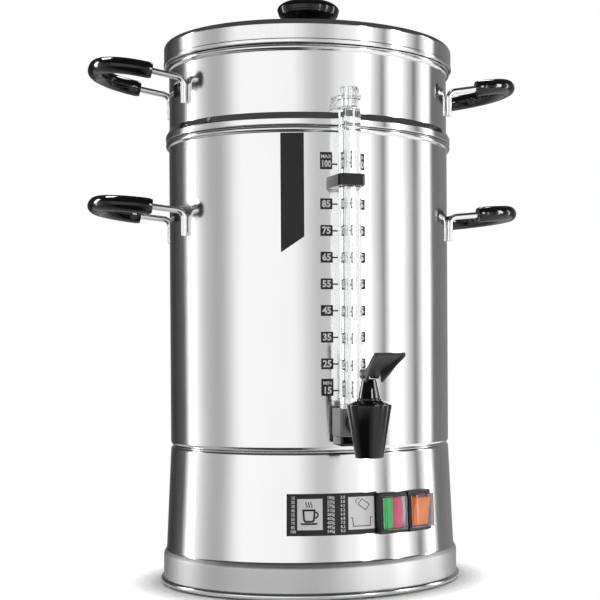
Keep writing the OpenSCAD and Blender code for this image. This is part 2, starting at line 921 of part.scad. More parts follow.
// Conical spout with the valve chamber, the seat and the pipe to the tee
module tap_body() {
  pipe_end = gauge_y - tee_l / 2 + pipe_socket;
  color(black)
    translate([0, tap_y, 0])
      difference() {
        union() {
          translate([0, 0, z_spout]) cylinder(d1 = spout_low_d, d2 = spout_top_d, h = spout_h);
          bar_y(0, pipe_end - tap_y, z_shank, inlet_pipe_d);
        }
        translate([0, 0, z_seat]) cylinder(d = chamber_d, h = chamber_h + 1);
        translate([0, 0, z_spout - 1]) cylinder(d = seat_d, h = spout_h);
        translate([0, 0, z_spout - 1]) cylinder(d = mouth_d, h = z_seat - seat_t - z_spout + 1);
        bar_y(0, pipe_end - tap_y + 1, z_shank, flow_d);
      }
}

module tap_bonnet() {
  color(black)
    translate([0, tap_y, z_spout_top])
      difference() {
        union() {
          translate([0, 0, fix_gap]) cylinder(d1 = bonnet_skirt_d, d2 = collar_d + 2, h = bonnet_skirt_h);
          translate([0, 0, bonnet_skirt_h]) cylinder(d = collar_d, h = collar_h - bonnet_skirt_h);
          translate([0, 0, collar_h])
            cylinder(d1 = bonnet_low_d, d2 = bonnet_top_d, h = bonnet_h - collar_h);
          translate([0, 0, -spigot_h])
            cylinder(d = chamber_d - 2 * fix_gap, h = spigot_h + fix_gap);
        }
        translate([0, 0, -spigot_h - 1]) cylinder(d = stem_d + 2 * run_gap, h = bonnet_h + spigot_h + 2);
      }
}

// Valve stem with an eye for the lever's pin
module tap_stem() {
  low = z_seat + seat_gap + 2;
  eye_h = z_lever_pin + lever_pin_d;
  color(dark_steel)
    translate([0, tap_y, 0])
      difference() {
        union() {
          translate([0, 0, low]) cylinder(d = stem_d, h = z_lever_pin - low);
          intersection() {
            translate([-eye_w / 2, 0, z_lever_pin])
              rotate([0, 90, 0]) cylinder(d = stem_d, h = eye_w);
            translate([0, 0, low]) cylinder(d = stem_d, h = eye_h - low);
          }
        }
        translate([-eye_w, 0, z_lever_pin])
          rotate([0, 90, 0]) cylinder(d = lever_pin_d + 2 * run_gap, h = 2 * eye_w);
      }
}

module seat_cup() {
  color("whitesmoke")
    translate([0, tap_y, z_seat + seat_gap])
      difference() {
        cylinder(d1 = cup_d - 2, d2 = cup_d, h = cup_h);
        translate([0, 0, 2 - fix_gap]) cylinder(d = stem_d + 2 * fix_gap, h = cup_h);
      }
}

// Return spring between the seat cup and the bonnet
module tap_spring() {
  low = z_seat + seat_gap + cup_h + spring_wire / 2 + fix_gap;
  high = z_spout_top - spigot_h - spring_wire / 2 - fix_gap;
  steps = 12;
  last = spring_turns * steps;
  color(dark_steel)
    swept([
      for (i = [0:last])
        let (a = 360 * i / steps)
        [spring_mean_d / 2 * cos(a), tap_y + spring_mean_d / 2 * sin(a), low + (high - low) * i / last]
    ], spring_wire, 6);
}

// Paddle with splayed flanges under it, and two cheeks that reach back to the pin
module tap_lever() {
  splay = atan((lever_w - lever_root_w) / 2 / (lever_l - lever_root));
  flange = [[flange_root, 0.5], [flange_root, -flange_deep], [lever_l, -flange_tip], [lever_l, 0.5]];
  cheek_w = (lever_root_w - eye_w) / 2 - cheek_gap;
  color(dark_grey)
    translate([0, tap_y, z_lever_pin])
      rotate([-lever_tilt, 0, 0])
        rotate([0, 0, -90])
          difference() {
            union() {
              translate([0, 0, -heel_r])
                linear_extrude(lever_t)
                  polygon([
                    [lever_root, -lever_root_w / 2], [lever_l, -lever_w / 2],
                    [lever_l, lever_w / 2], [lever_root, lever_root_w / 2]
                  ]);
              for (s = [-1, 1]) {
                translate([lever_root, s * (lever_root_w - flange_t) / 2, -heel_r])
                  rotate([0, 0, s * splay])
                    translate([-lever_root, flange_t / 2, 0])
                      rotate([90, 0, 0]) linear_extrude(flange_t) polygon(flange);
                translate([0, s * (lever_root_w - cheek_w) / 2 + cheek_w / 2, 0])
                  rotate([90, 0, 0])
                    linear_extrude(cheek_w) {
                      circle(r = heel_r);
                      rotate(-lever_tilt) translate([heel_lead, 0]) circle(r = heel_r);
                      translate([0, -heel_r]) square([flange_root, heel_r]);
                    }
              }
            }
            translate([0, -lever_w, 0])
              rotate([-90, 0, 0]) cylinder(d = lever_pin_d + 2 * run_gap, h = 2 * lever_w);
          }
}

module lever_pin() {
  color(dark_steel)
    translate([-lever_root_w / 2, tap_y, z_lever_pin])
      rotate([0, 90, 0]) cylinder(d = lever_pin_d, h = lever_root_w);
}

// Flanged frame with a neck through the wall
module bezel_frame() {
  difference() {
    union() {
      block(bezel_w, bezel_h, 0, bezel_t);
      block(neck_w, neck_h, -neck_depth, 1);
    }
    block(opening_w, opening_h, -neck_depth - 1, bezel_t + 1);
  }
}

module lamp_bezel() {
  color(black)
    on_cone(lamp_angle, panel_z) {
      bezel_frame();
      block(neck_w, neck_h, -neck_depth, -neck_depth + neck_wall);
    }
}

// One coloured lens in its half of the lamp opening, s = -1 left or 1 right
module lens(s) {
  w = (opening_w - 3 * lens_gap) / 2;
  on_cone(lamp_angle, panel_z)
    translate([s * (w + lens_gap) / 2, 0, 0])
      block(w, opening_h - 2 * lens_gap, -neck_depth + neck_wall, bezel_t - lens_sunk);
}

module lamp_green() {
  color("limegreen") lens(-1);
}

module lamp_red() {
  color("crimson") lens(1);
}

// Clear box over an opening, open at the back
module clear_cover(rise) {
  w = opening_w + 2 * cover_lap;
  h = opening_h + 2 * cover_lap;
  difference() {
    block(w, h, bezel_t + fix_gap, bezel_t + rise);
    block(w - 2 * cover_t, h - 2 * cover_t, bezel_t, bezel_t + rise - cover_t);
  }
}

module lamp_cover() {
  color(clear) on_cone(lamp_angle, panel_z) clear_cover(lamp_cover_rise);
}

module switch_bezel() {
  color(black)
    on_cone(switch_angle, panel_z)
      difference() {
        bezel_frame();
        translate([-neck_w / 2, 0, rocker_pivot])
          rotate([0, 90, 0]) cylinder(d = rocker_pin_d + 2 * run_gap, h = neck_w);
      }
}

module switch_case() {
  color(black)
    on_cone(switch_angle, panel_z) {
      block(neck_w, neck_h, -neck_depth - case_depth, -neck_depth - fix_gap);
      for (i = [-1:1])
        translate([0, i * opening_h / 3, -neck_depth - case_depth]) block(6, 1, -tab_l, 0);
    }
}

// Rocker with a dished face, tipped so that its upper end stands out
module switch_rocker() {
  half = rocker_h / 2;
  pin_l = neck_w - 2 * fix_gap;
  toe = 5;
  color("darkorange")
    on_cone(switch_angle, panel_z)
      translate([0, 0, rocker_pivot])
        rotate([rocker_tilt, 0, 0]) {
          rotate([90, 0, 90])
            translate([0, 0, -rocker_w / 2])
              linear_extrude(rocker_w)
                polygon([
                  [-half + toe, -rocker_depth], [-half, 0], [-half, rocker_face],
                  [0, rocker_face - rocker_dip],
                  [half, rocker_face], [half, 0], [half - toe, -rocker_depth]
                ]);
          translate([-pin_l / 2, 0, 0]) rotate([0, 90, 0]) cylinder(d = rocker_pin_d, h = pin_l);
        }
}

module switch_cover() {
  color(clear) on_cone(switch_angle, panel_z) clear_cover(switch_cover_rise);
}

module pot_shell() {
  path = concat(
    [[chimney_d / 2 + 2 * fix_gap, pot_floor_z]],
    arc([pot_sunk_r - pot_corner, pot_floor_z + pot_corner], pot_corner, -90, 0),
    [
      [pot_sunk_r, z_pot],
      [pot_r + shoulder_proud, z_pot],
      [pot_r + shoulder_proud, z_pot + shoulder_h],
      [pot_r, z_pot + shoulder_h + slope_h],
      [pot_r, z_pot_rim - rim_d / 2]
    ]
  );
  drain_rows = [0.35, 0.62, 0.86];
  color(steel)
    difference() {
      rotate_extrude() {
        sheet(path);
        bead(pot_r, z_pot_rim - rim_d / 2, rim_d);
      }
      for (row = drain_rows)
        let (r = row * (pot_sunk_r - pot_corner), count = floor(r / 6))
        for (i = [0:count - 1])
          rotate([0, 0, 360 * i / count])
            translate([r, 0, pot_floor_z - 1]) cylinder(d = drain_d, h = sheet_t + 2);
    }
}

// Rings of small holes between two radii
module hole_rings(from, to, rows) {
  for (row = [0:rows - 1])
    let (r = from + (to - from) * row / (rows - 1), count = floor(6 + 2.4 * row))
    for (i = [0:count - 1])
      rotate(360 * (i + 0.5 * (row % 2)) / count) translate([r, 0]) circle(d = hole_d, $fn = 24);
}

// Perforated sheet on the pot's floor, under the ground coffee
module pot_screen() {
  outer = pot_sunk_r - sheet_t - screen_seat;
  color(dark_steel)
    translate([0, 0, pot_floor_z + sheet_t + fix_gap])
      linear_extrude(screen_t)
        difference() {
          circle(r = outer);
          circle(d = chimney_d + 2);
          hole_rings(chimney_d / 2 + 10, outer - 8, screen_rows);
        }
}

// Tube through the pot's floor, with a collar that carries the spreader
module pot_chimney() {
  collar_d = chimney_d + 2 * chimney_collar;
  upper_h = 3;
  lower_h = 2;
  h = chimney_top - chimney_low;
  color(steel)
    difference() {
      union() {
        translate([0, 0, chimney_low]) cylinder(d = chimney_d, h = h);
        translate([0, 0, spreader_z - upper_h]) cylinder(d = collar_d, h = upper_h - fix_gap);
        translate([0, 0, pot_floor_z - lower_h - fix_gap]) cylinder(d = collar_d, h = lower_h);
      }
      translate([0, 0, chimney_low - 1]) cylinder(d = chimney_d - 2 * sheet_t, h = h + 2);
    }
}

// Dished plate that spreads the risen water over the coffee
module spreader() {
  rim_h = 5;
  color(steel)
    translate([0, 0, spreader_z]) {
      linear_extrude(sheet_t)
        difference() {
          circle(r = spreader_r);
          circle(d = chimney_d + 2 * fix_gap);
          hole_rings(chimney_d / 2 + 14, spreader_r - 8, screen_rows - 2);
        }
      difference() {
        cylinder(r = spreader_r, h = rim_h);
        translate([0, 0, -1]) cylinder(r = spreader_r - sheet_t, h = rim_h + 2);
      }
    }
}

module pot_handle_right() {
  color(steel) pot_handle_place() handle_rod(pot_tilt);
}

module pot_handle_left() {
  mirror([1, 0, 0]) pot_handle_right();
}

module pot_grip_right() {
  color(black) pot_handle_place() handle_grip(pot_tilt);
}

module pot_grip_left() {
  mirror([1, 0, 0]) pot_grip_right();
}

// Height of the dome above the lid's edge at radius r
function dome(r) = let (edge = lid_r - lid_round) dome_h * (1 - pow(r / edge, 2));

module lid_shell() {
  edge = lid_r - lid_round;
  dome_steps = 10;
  path = concat(
    [
      [lid_plug_r, z_lid - plug_h],
      [lid_plug_r, z_lid],
      [lid_r + hem_proud, z_lid],
      [lid_r + hem_proud, z_lid + hem_h],
      [lid_r, z_lid + hem_h + hem_proud]
    ],
    arc([edge, z_lid_edge - lid_round], lid_round, 0, 80),
    [
      for (i = [1:dome_steps])
        let (r = edge + (knob_hole_d / 2 - edge) * i / dome_steps)
        [r, z_lid_edge + dome(r)]
    ]
  );
  color(steel) rotate_extrude() sheet(path);
}

// Mushroom knob on a neck
module lid_knob() {
  low = z_dome + knob_seat;
  top = z_dome + knob_h;
  r = knob_d / 2;
  crown_h = 10;
  crown_w = r - 3;
  skirt_h = 8;
  neck_r = neck_d / 2;
  skirt_z = top - crown_h - skirt_h;
  crown_steps = 12;
  path = concat(
    [[0, low], [neck_r + 2, low], [neck_r, low + 4], [neck_r, skirt_z - 5], [r - 6, skirt_z]],
    [[r - 2, skirt_z + 2]],
    [
      for (i = [0:crown_steps])
        let (a = 90 * i / crown_steps)
        [r - crown_w * (1 - cos(a)), top - crown_h * (1 - sin(a))]
    ],
    [[0, top]]
  );
  color(black)
    difference() {
      rotate_extrude() polygon(path);
      translate([0, 0, low - 1]) cylinder(d = knob_hole_d, h = knob_hole_h);
    }
}

module knob_washer() {
  color(dark_steel)
    translate([0, 0, z_dome + fix_gap])
      difference() {
        cylinder(d = neck_d, h = knob_seat - 2 * fix_gap);
        translate([0, 0, -1]) cylinder(d = knob_hole_d + 2 * fix_gap, h = knob_seat + 2);
      }
}

module knob_screw() {
  head_top = z_dome - sheet_t - fix_gap;
  head_h = 3;
  slot = [2 * knob_hole_d, 1.2, 1.4];
  color(dark_steel)
    difference() {
      union() {
        translate([0, 0, head_top - head_h]) cylinder(d = 2 * knob_hole_d, h = head_h);
        translate([0, 0, head_top - 1]) cylinder(d = knob_hole_d - 2 * fix_gap, h = knob_hole_h);
      }
      translate([-slot[0] / 2, -slot[1] / 2, head_top - head_h - 1]) cube(slot + [0, 0, 1]);
    }
}

base_shell();
base_plate();
feet();
plate_screws();
tie_rod();
tie_nut();
vessel();
heater_well();
heater_plate();
heater_ring();
thermostat();
terminal_block();
wires();
cord_inlet();
riser_tube();
vessel_handle_left();
vessel_handle_right();
vessel_grip_left();
vessel_grip_right();
shank();
wall_seal();
shank_washer();
shank_nut();
tee_body();
plug_nut();
gauge_tube();
gauge_seal();
gauge_cap();
gauge_clip();
clip_screw();
tap_body();
tap_bonnet();
tap_stem();
seat_cup();
tap_spring();
tap_lever();
lever_pin();
lamp_bezel();
lamp_green();
lamp_red();
lamp_cover();
switch_bezel();
switch_case();
switch_rocker();
switch_cover();
pot_shell();
pot_screen();
pot_chimney();
spreader();
pot_handle_left();
pot_handle_right();
pot_grip_left();
pot_grip_right();
lid_shell();
lid_knob();
knob_washer();
knob_screw();
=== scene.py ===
"""Coffee urn: smooth meshes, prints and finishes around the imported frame.

Metres, +Z up, the urn's axis on Z, the tap towards -Y.
"""

from __future__ import annotations

import json
import logging
import math
from dataclasses import dataclass
from enum import Enum
from functools import cache
from typing import ClassVar, Iterable, Mapping, Sequence

import bmesh
import bpy
from mathutils import Matrix, Vector

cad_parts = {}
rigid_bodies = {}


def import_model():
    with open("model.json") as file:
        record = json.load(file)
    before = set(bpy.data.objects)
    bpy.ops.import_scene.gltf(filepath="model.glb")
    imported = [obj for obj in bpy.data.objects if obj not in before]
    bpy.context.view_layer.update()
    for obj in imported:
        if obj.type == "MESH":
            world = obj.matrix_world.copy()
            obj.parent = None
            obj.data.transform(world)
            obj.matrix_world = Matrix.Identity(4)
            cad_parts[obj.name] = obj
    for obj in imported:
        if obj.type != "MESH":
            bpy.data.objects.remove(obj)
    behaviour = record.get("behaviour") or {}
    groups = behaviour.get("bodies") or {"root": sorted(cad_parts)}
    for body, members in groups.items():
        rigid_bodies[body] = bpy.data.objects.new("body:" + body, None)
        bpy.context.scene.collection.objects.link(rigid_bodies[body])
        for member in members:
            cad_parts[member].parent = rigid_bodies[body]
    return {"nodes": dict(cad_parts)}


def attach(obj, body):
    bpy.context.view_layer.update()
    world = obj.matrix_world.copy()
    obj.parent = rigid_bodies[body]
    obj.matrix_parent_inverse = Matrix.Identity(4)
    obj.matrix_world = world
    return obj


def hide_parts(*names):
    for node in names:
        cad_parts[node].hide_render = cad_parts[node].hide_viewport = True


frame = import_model()

log = logging.getLogger("urn")

MM = 0.001

# Sides of a large turned piece, and the share of a side that a rounded corner may take.
SIDES = 192
SIDE_SHARE = 0.45
# Copies of CAD nodes: points closer than this are merged, faces that turn by fewer degrees than
# FLAT_TURN become one, and edges sharper than EDGE_TURN are eased.
MERGE = 0.002 * MM
FLAT_TURN = 0.6
EDGE_TURN = 38
# Range of a noise pattern that is spread over a finish's values.
PATTERN_LOW = 0.3
PATTERN_HIGH = 0.7
# Marks of the scale and rows of the filling table.
CUPS = (15, 25, 35, 45, 55, 65, 75, 85, 100)

Point = tuple[float, float]
Colour = tuple[float, float, float]


class Body(Enum):
    """The bodies of the frame that pieces ride on."""

    URN = "urn"
    POT = "filter_pot"
    LID = "lid"
    CAP = "gauge_cap"
    STEM = "tap_stem"
    LEVER = "tap_lever"
    ROCKER = "switch_rocker"


class Slot(Enum):
    """The record's material slots."""

    STEEL = "polished_steel"
    PLATED = "plated_steel"
    ZINC = "zinc_steel"
    ALLOY = "heater_alloy"
    BLACK = "black_gloss"
    LEVER = "lever_grey"
    FITTING = "fitting_grey"
    TUBE = "clear_tube"
    COVER = "clear_cover"
    GREEN = "lens_green"
    RED = "lens_red"
    ORANGE = "rocker_orange"
    RUBBER = "black_rubber"
    SILICONE = "white_silicone"
    IVORY = "terminal_ivory"
    WIRE = "wire_red"


class Side(Enum):
    """The side of the urn that a handle is on, as seen from the tap."""

    LEFT = -1
    RIGHT = 1


class Graph:
    """Adds nodes to one node tree and wires them."""

    def __init__(self, tree: bpy.types.NodeTree) -> None:
        """Keeps the tree.

        Args:
            tree: The shader or geometry node tree to add to.
        """
        self.tree = tree

    def add(
        self, kind: str, inputs: Mapping[str | int, object] | None = None, **settings: object
    ) -> bpy.types.Node:
        """Adds one node.

        Args:
            kind: The node's type name.
            inputs: Values or output sockets for its inputs, by name or index.
            **settings: Properties of the node.

        Returns:
            The new node.
        """
        node = self.tree.nodes.new(kind)
        for key, value in settings.items():
            setattr(node, key, value)
        for key, value in (inputs or {}).items():
            if isinstance(value, bpy.types.NodeSocket):
                self.tree.links.new(value, node.inputs[key])
            else:
                node.inputs[key].default_value = value
        return node

    def math(self, operation: str, *values: object) -> bpy.types.NodeSocket:
        """Adds a math node.

        Args:
            operation: Name of the operation.
            *values: Numbers or sockets for its inputs, in order.

        Returns:
            The result's socket.
        """
        return self.add("ShaderNodeMath", dict(enumerate(values)), operation=operation).outputs[0]

    def noise(
        self, scale: float, stretch: Sequence[float] = (1, 1, 1), detail: float = 2.0
    ) -> bpy.types.NodeSocket:
        """Adds a noise pattern on the object's own coordinates.

        Args:
            scale: Repeats per metre.
            stretch: Factor on the scale along each axis.
            detail: Finer layers of the noise.

        Returns:
            The pattern's socket, about 0 to 1.
        """
        place = self.add("ShaderNodeTexCoord").outputs["Object"]
        mapped = self.add("ShaderNodeMapping", {"Vector": place, "Scale": stretch}).outputs["Vector"]
        noise = self.add("ShaderNodeTexNoise", {"Vector": mapped, "Scale": scale, "Detail": detail})
        return noise.outputs["Fac"]

    def between(self, value: bpy.types.NodeSocket, low: float, high: float) -> bpy.types.NodeSocket:
        """Spreads the middle of a pattern over a range.

        Args:
            value: The pattern's socket.
            low: Result where the pattern is low.
            high: Result where the pattern is high.

        Returns:
            The result's socket.
        """
        source = {"Value": value, "From Min": PATTERN_LOW, "From Max": PATTERN_HIGH}
        target = {"To Min": low, "To Max": high}
        return self.add("ShaderNodeMapRange", source | target).outputs["Result"]

    def bump(
        self, height: bpy.types.NodeSocket, distance: float, strength: float = 1.0
    ) -> bpy.types.NodeSocket:
        """Adds a bump.

        Args:
            height: Socket of the height pattern.
            distance: Height of the bumps in metres.
            strength: How much of the bump shows.

        Returns:
            The normal's socket.
        """
        return self.add(
            "ShaderNodeBump", {"Height": height, "Distance": distance, "Strength": strength}
        ).outputs["Normal"]


@dataclass(frozen=True)
class Finish:
    """A surface finish that is made once as a node material."""

    name: str
    slot: Slot
    colour: Colour
    roughness: float

    def material(self) -> bpy.types.Material:
        """Gives the finish's material, made at the first call."""
        return bpy.data.materials.get(self.name) or self.make()

    def make(self) -> bpy.types.Material:
        """Makes the material from the finish's values and its pattern.

        Returns:
            The new material.
        """
        material = bpy.data.materials.new(self.name)
        material.use_nodes = True
        shader = material.node_tree.nodes["Principled BSDF"]
        shader.inputs["Base Color"].default_value = (*self.colour, 1)
        shader.inputs["Roughness"].default_value = self.roughness
        self.paint(Graph(material.node_tree), shader.inputs)
        material.diffuse_color = (*self.colour, 1)
        return material

    def paint(self, graph: Graph, shader: bpy.types.NodeInputs) -> None:
        """Adds the finish's pattern.

        Args:
            graph: Helper for the material's tree.
            shader: The shader's inputs.
        """
        raise NotImplementedError

    def tone(self, graph: Graph, pattern: bpy.types.NodeSocket, shift: float) -> bpy.types.NodeSocket:
        """Varies the colour a little with a pattern.

        Args:
            graph: Helper for the material's tree.
            pattern: Socket of the pattern.
            shift: Share by which the colour gets darker or lighter.

        Returns:
            The colour's socket.
        """
        ends = [tuple(min(1.0, c * k) for c in self.colour) for k in (1 - shift, 1 + shift)]
        mix = graph.add(
            "ShaderNodeMixRGB",
            {"Fac": graph.between(pattern, 0, 1), "Color1": (*ends[0], 1), "Color2": (*ends[1], 1)},
        )
        return mix.outputs["Color"]

    def link(self, graph: Graph, source: bpy.types.NodeSocket, target: bpy.types.NodeSocket) -> None:
        """Wires one socket to another."""
        graph.tree.links.new(source, target)


@dataclass(frozen=True)
class Metal(Finish):
    """Sheet or turned metal with fine lines along Z and faint smudges."""

    line_scale: float = 900
    line_stretch: tuple[float, float, float] = (1, 1, 0.012)
    line_depth: float = 0.000004
    rough_shift: float = 0.04
    smudge_scale: float = 16
    tone_shift: float = 0.02

    def paint(self, graph: Graph, shader: bpy.types.NodeInputs) -> None:
        """Adds lines, smudges and a slight waviness (see Finish.paint)."""
        shader["Metallic"].default_value = 1
        lines = graph.noise(self.line_scale, self.line_stretch, 3)
        smudge = graph.noise(self.smudge_scale, (1, 1, 0.5), 4)
        mixed = graph.math("ADD", *(graph.math("MULTIPLY", part, 0.5) for part in (lines, smudge)))
        low, high = self.roughness - self.rough_shift, self.roughness + self.rough_shift
        self.link(graph, graph.between(mixed, low, high), shader["Roughness"])
        self.link(graph, self.tone(graph, smudge, self.tone_shift), shader["Base Color"])
        self.link(graph, graph.bump(lines, self.line_depth, 0.5), shader["Normal"])


@dataclass(frozen=True)
class Moulded(Finish):
    """Moulded plastic, glossy or with a fine grain."""

    grain_scale: float = 2600
    handling_scale: float = 55
    grain_depth: float = 0.000006
    rough_shift: float = 0.03
    tone_shift: float = 0.12

    def paint(self, graph: Graph, shader: bpy.types.NodeInputs) -> None:
        """Adds the grain, handling marks and a faint unevenness of colour (see Finish.paint)."""
        grain = graph.noise(self.grain_scale, detail=2)
        handled = graph.noise(self.handling_scale, detail=4)
        low, high = self.roughness - self.rough_shift, self.roughness + self.rough_shift
        self.link(graph, graph.between(handled, low, high), shader["Roughness"])
        self.link(graph, self.tone(graph, handled, self.tone_shift), shader["Base Color"])
        self.link(graph, graph.bump(grain, self.grain_depth, 0.6), shader["Normal"])


@dataclass(frozen=True)
class Clear(Finish):
    """Clear moulded plastic or glass."""

    ior: float = 1.45
    rough_rise: float = 0.03
    smudge_scale: float = 60
    line_scale: float = 420
    line_depth: float = 0.00001

    def paint(self, graph: Graph, shader: bpy.types.NodeInputs) -> None:
        """Lets light through and adds faint draw lines (see Finish.paint)."""
        shader["Transmission Weight"].default_value = 1
        shader["IOR"].default_value = self.ior
        smudge = graph.noise(self.smudge_scale, (1, 1, 0.2), 3)
        rough = graph.between(smudge, self.roughness, self.roughness + self.rough_rise)
        self.link(graph, rough, shader["Roughness"])
        lines = graph.noise(self.line_scale, (1, 1, 0.02), 1)
        self.link(graph, graph.bump(lines, self.line_depth, 0.3), shader["Normal"])


@dataclass(frozen=True)
class Lens(Finish):
    """Coloured lamp plastic, lit a little from behind, with upright flutes."""

    glow: float = 0.25
    flutes: float = 420
    flute_depth: float = 0.0002
    cloud_scale: float = 140
    tone_shift: float = 0.18
    depth_weight: float = 0.2
    depth_scale: float = 0.002

    def paint(self, graph: Graph, shader: bpy.types.NodeInputs) -> None:
        """Adds upright flutes, uneven colour and a weak glow (see Finish.paint)."""
        shader["Emission Color"].default_value = (*self.colour, 1)
        shader["Emission Strength"].default_value = self.glow
        shader["Subsurface Weight"].default_value = self.depth_weight
        shader["Subsurface Scale"].default_value = self.depth_scale
        cloud = graph.noise(self.cloud_scale, (1, 1, 0.4), 3)
        self.link(graph, self.tone(graph, cloud, self.tone_shift), shader["Base Color"])
        flutes = graph.noise(self.flutes, (1, 1, 0.01), 1)
        self.link(graph, graph.bump(flutes, self.flute_depth, 0.5), shader["Normal"])


STEEL = Metal("urn_polished_steel", Slot.STEEL, (0.87, 0.87, 0.875), 0.12)
BAND = Metal("urn_satin_steel", Slot.STEEL, (0.66, 0.66, 0.665), 0.42)
PLATED = Metal("urn_plated_steel", Slot.PLATED, (0.74, 0.74, 0.75), 0.16, line_stretch=(1, 1, 1))
ZINC = Metal(
    "urn_zinc_steel", Slot.ZINC, (0.6, 0.61, 0.63), 0.34, line_stretch=(1, 1, 1), rough_shift=0.1
)
ALLOY = Metal("urn_heater_alloy", Slot.ALLOY, (0.68, 0.68, 0.7), 0.42, line_stretch=(1, 1, 1))
BLACK = Moulded("urn_black_gloss", Slot.BLACK, (0.003, 0.003, 0.003), 0.07)
SATIN = Moulded("urn_black_satin", Slot.BLACK, (0.02, 0.02, 0.021), 0.36, grain_depth=0.00002)
LEVER = Moulded("urn_lever_grey", Slot.LEVER, (0.05, 0.05, 0.052), 0.5, grain_depth=0.00005)
FITTING = Moulded("urn_fitting_grey", Slot.FITTING, (0.22, 0.22, 0.225), 0.3, grain_depth=0.00002)
TUBE = Clear("urn_clear_tube", Slot.TUBE, (0.98, 0.99, 0.99), 0.01)
COVER = Clear("urn_clear_cover", Slot.COVER, (0.97, 0.98, 0.98), 0.03)
GREEN = Lens("urn_lens_green", Slot.GREEN, (0.02, 0.42, 0.09), 0.12)
RED = Lens("urn_lens_red", Slot.RED, (0.68, 0.05, 0.14), 0.12)
ORANGE = Lens("urn_rocker_orange", Slot.ORANGE, (0.86, 0.2, 0.015), 0.14, glow=0.2)
RUBBER = Moulded("urn_black_rubber", Slot.RUBBER, (0.02, 0.02, 0.02), 0.8, grain_depth=0.00008)
SILICONE = Moulded("urn_white_silicone", Slot.SILICONE, (0.78, 0.78, 0.75), 0.6, tone_shift=0.05)
IVORY = Moulded("urn_terminal_ivory", Slot.IVORY, (0.72, 0.66, 0.5), 0.45, tone_shift=0.06)
WIRE = Moulded("urn_wire_red", Slot.WIRE, (0.42, 0.03, 0.03), 0.4)
# Black ink of the prints, also used for a dark strip of painted reflection on the steel beside the
# scale.
INK_AND_PAINTED_REFLECTION = Moulded("urn_ink_black", Slot.BLACK, (0.008, 0.008, 0.009), 0.45, grain_depth=0.00002)
PAPER = Moulded("urn_ink_white", Slot.SILICONE, (0.86, 0.86, 0.86), 0.5, tone_shift=0.02)
GREY_INK = Moulded("urn_ink_grey", Slot.FITTING, (0.78, 0.78, 0.78), 0.5, tone_shift=0.03)


def arc(centre: Point, radius: float, start: float, end: float, steps: int = 10) -> list[Point]:
    """Makes the points of an arc.

    Args:
        centre: Centre of the arc.
        radius: Its radius.
        start: First angle in degrees.
        end: Last angle in degrees.
        steps: Number of chords.

    Returns:
        The points, from the first angle to the last.
    """
    angles = [math.radians(start + (end - start) * i / steps) for i in range(steps + 1)]
    return [(centre[0] + radius * math.cos(a), centre[1] + radius * math.sin(a)) for a in angles]


def rounded(
    outline: Sequence[Point], radius: float, closed: bool = True, steps: int = 5
) -> list[Point]:
    """Rounds the corners of an outline.

    Args:
        outline: Corner points.
        radius: Radius at every corner, made smaller where a side is short.
        closed: Whether the last point joins the first.
        steps: Chords of each rounded corner.

    Returns:
        The outline with its corners rounded.
    """
    count = len(outline)
    points: list[Point] = []
    for i, corner in enumerate(outline):
        if not closed and i in (0, count - 1):
            points.append(corner)
            continue
        here = Vector(corner)
        back = Vector(outline[i - 1]) - here
        ahead = Vector(outline[(i + 1) % count]) - here
        turn = back.angle(ahead)
        room = SIDE_SHARE * min(back.length, ahead.length)
        reach = min(radius / max(math.tan(turn / 2), 1e-6), room)
        first = here + back.normalized() * reach
        last = here + ahead.normalized() * reach
        for k in range(steps + 1):
            t = k / steps
            point = first * (1 - t) ** 2 + here * 2 * t * (1 - t) + last * t**2
            points.append((point.x, point.y))
    return points


def inset(path: Sequence[Point], thickness: float) -> list[Point]:
    """Moves a path to its left, with mitred corners.

    Args:
        path: Points of the path.
        thickness: Distance to move it by.

    Returns:
        The moved points, in the path's order.
    """
    def normal(a: Point, b: Point) -> Vector:
        """Gives the unit normal to the left of the run from a to b."""
        run = (Vector(b) - Vector(a)).normalized()
        return Vector((-run.y, run.x))

    last = len(path) - 1
    moved: list[Point] = []
    for i, point in enumerate(path):
        before = normal(path[max(i - 1, 0)], path[max(i, 1)])
        after = normal(path[min(i, last - 1)], path[min(i + 1, last)])
        shift = (before + after) * (thickness / (1 + before.dot(after)))
        moved.append((point[0] + shift.x, point[1] + shift.y))
    return moved


def new_object(name: str, mesh: bmesh.types.BMesh) -> bpy.types.Object:
    """Turns a bmesh into an object at the origin and frees it.

    Args:
        name: Name of the object.
        mesh: The bmesh to take over.

    Returns:
        The new object.
    """
    data = bpy.data.meshes.new(name)
    mesh.to_mesh(data)
    mesh.free()
    obj = bpy.data.objects.new(name, data)
    bpy.context.collection.objects.link(obj)
    return obj


def soften(obj: bpy.types.Object, limit: float = 32) -> bpy.types.Object:
    """Shades a mesh smooth, with sharp edges where its faces turn by more than a limit.

    Args:
        obj: The object to shade.
        limit: Largest turn in degrees that stays smooth.

    Returns:
        The same object.
    """
    mesh = bmesh.new()
    mesh.from_mesh(obj.data)
    for face in mesh.faces:
        face.smooth = True
    for edge in mesh.edges:
        edge.smooth = len(edge.link_faces) == 2 and edge.calc_face_angle() < math.radians(limit)
    mesh.to_mesh(obj.data)
    mesh.free()
    return obj


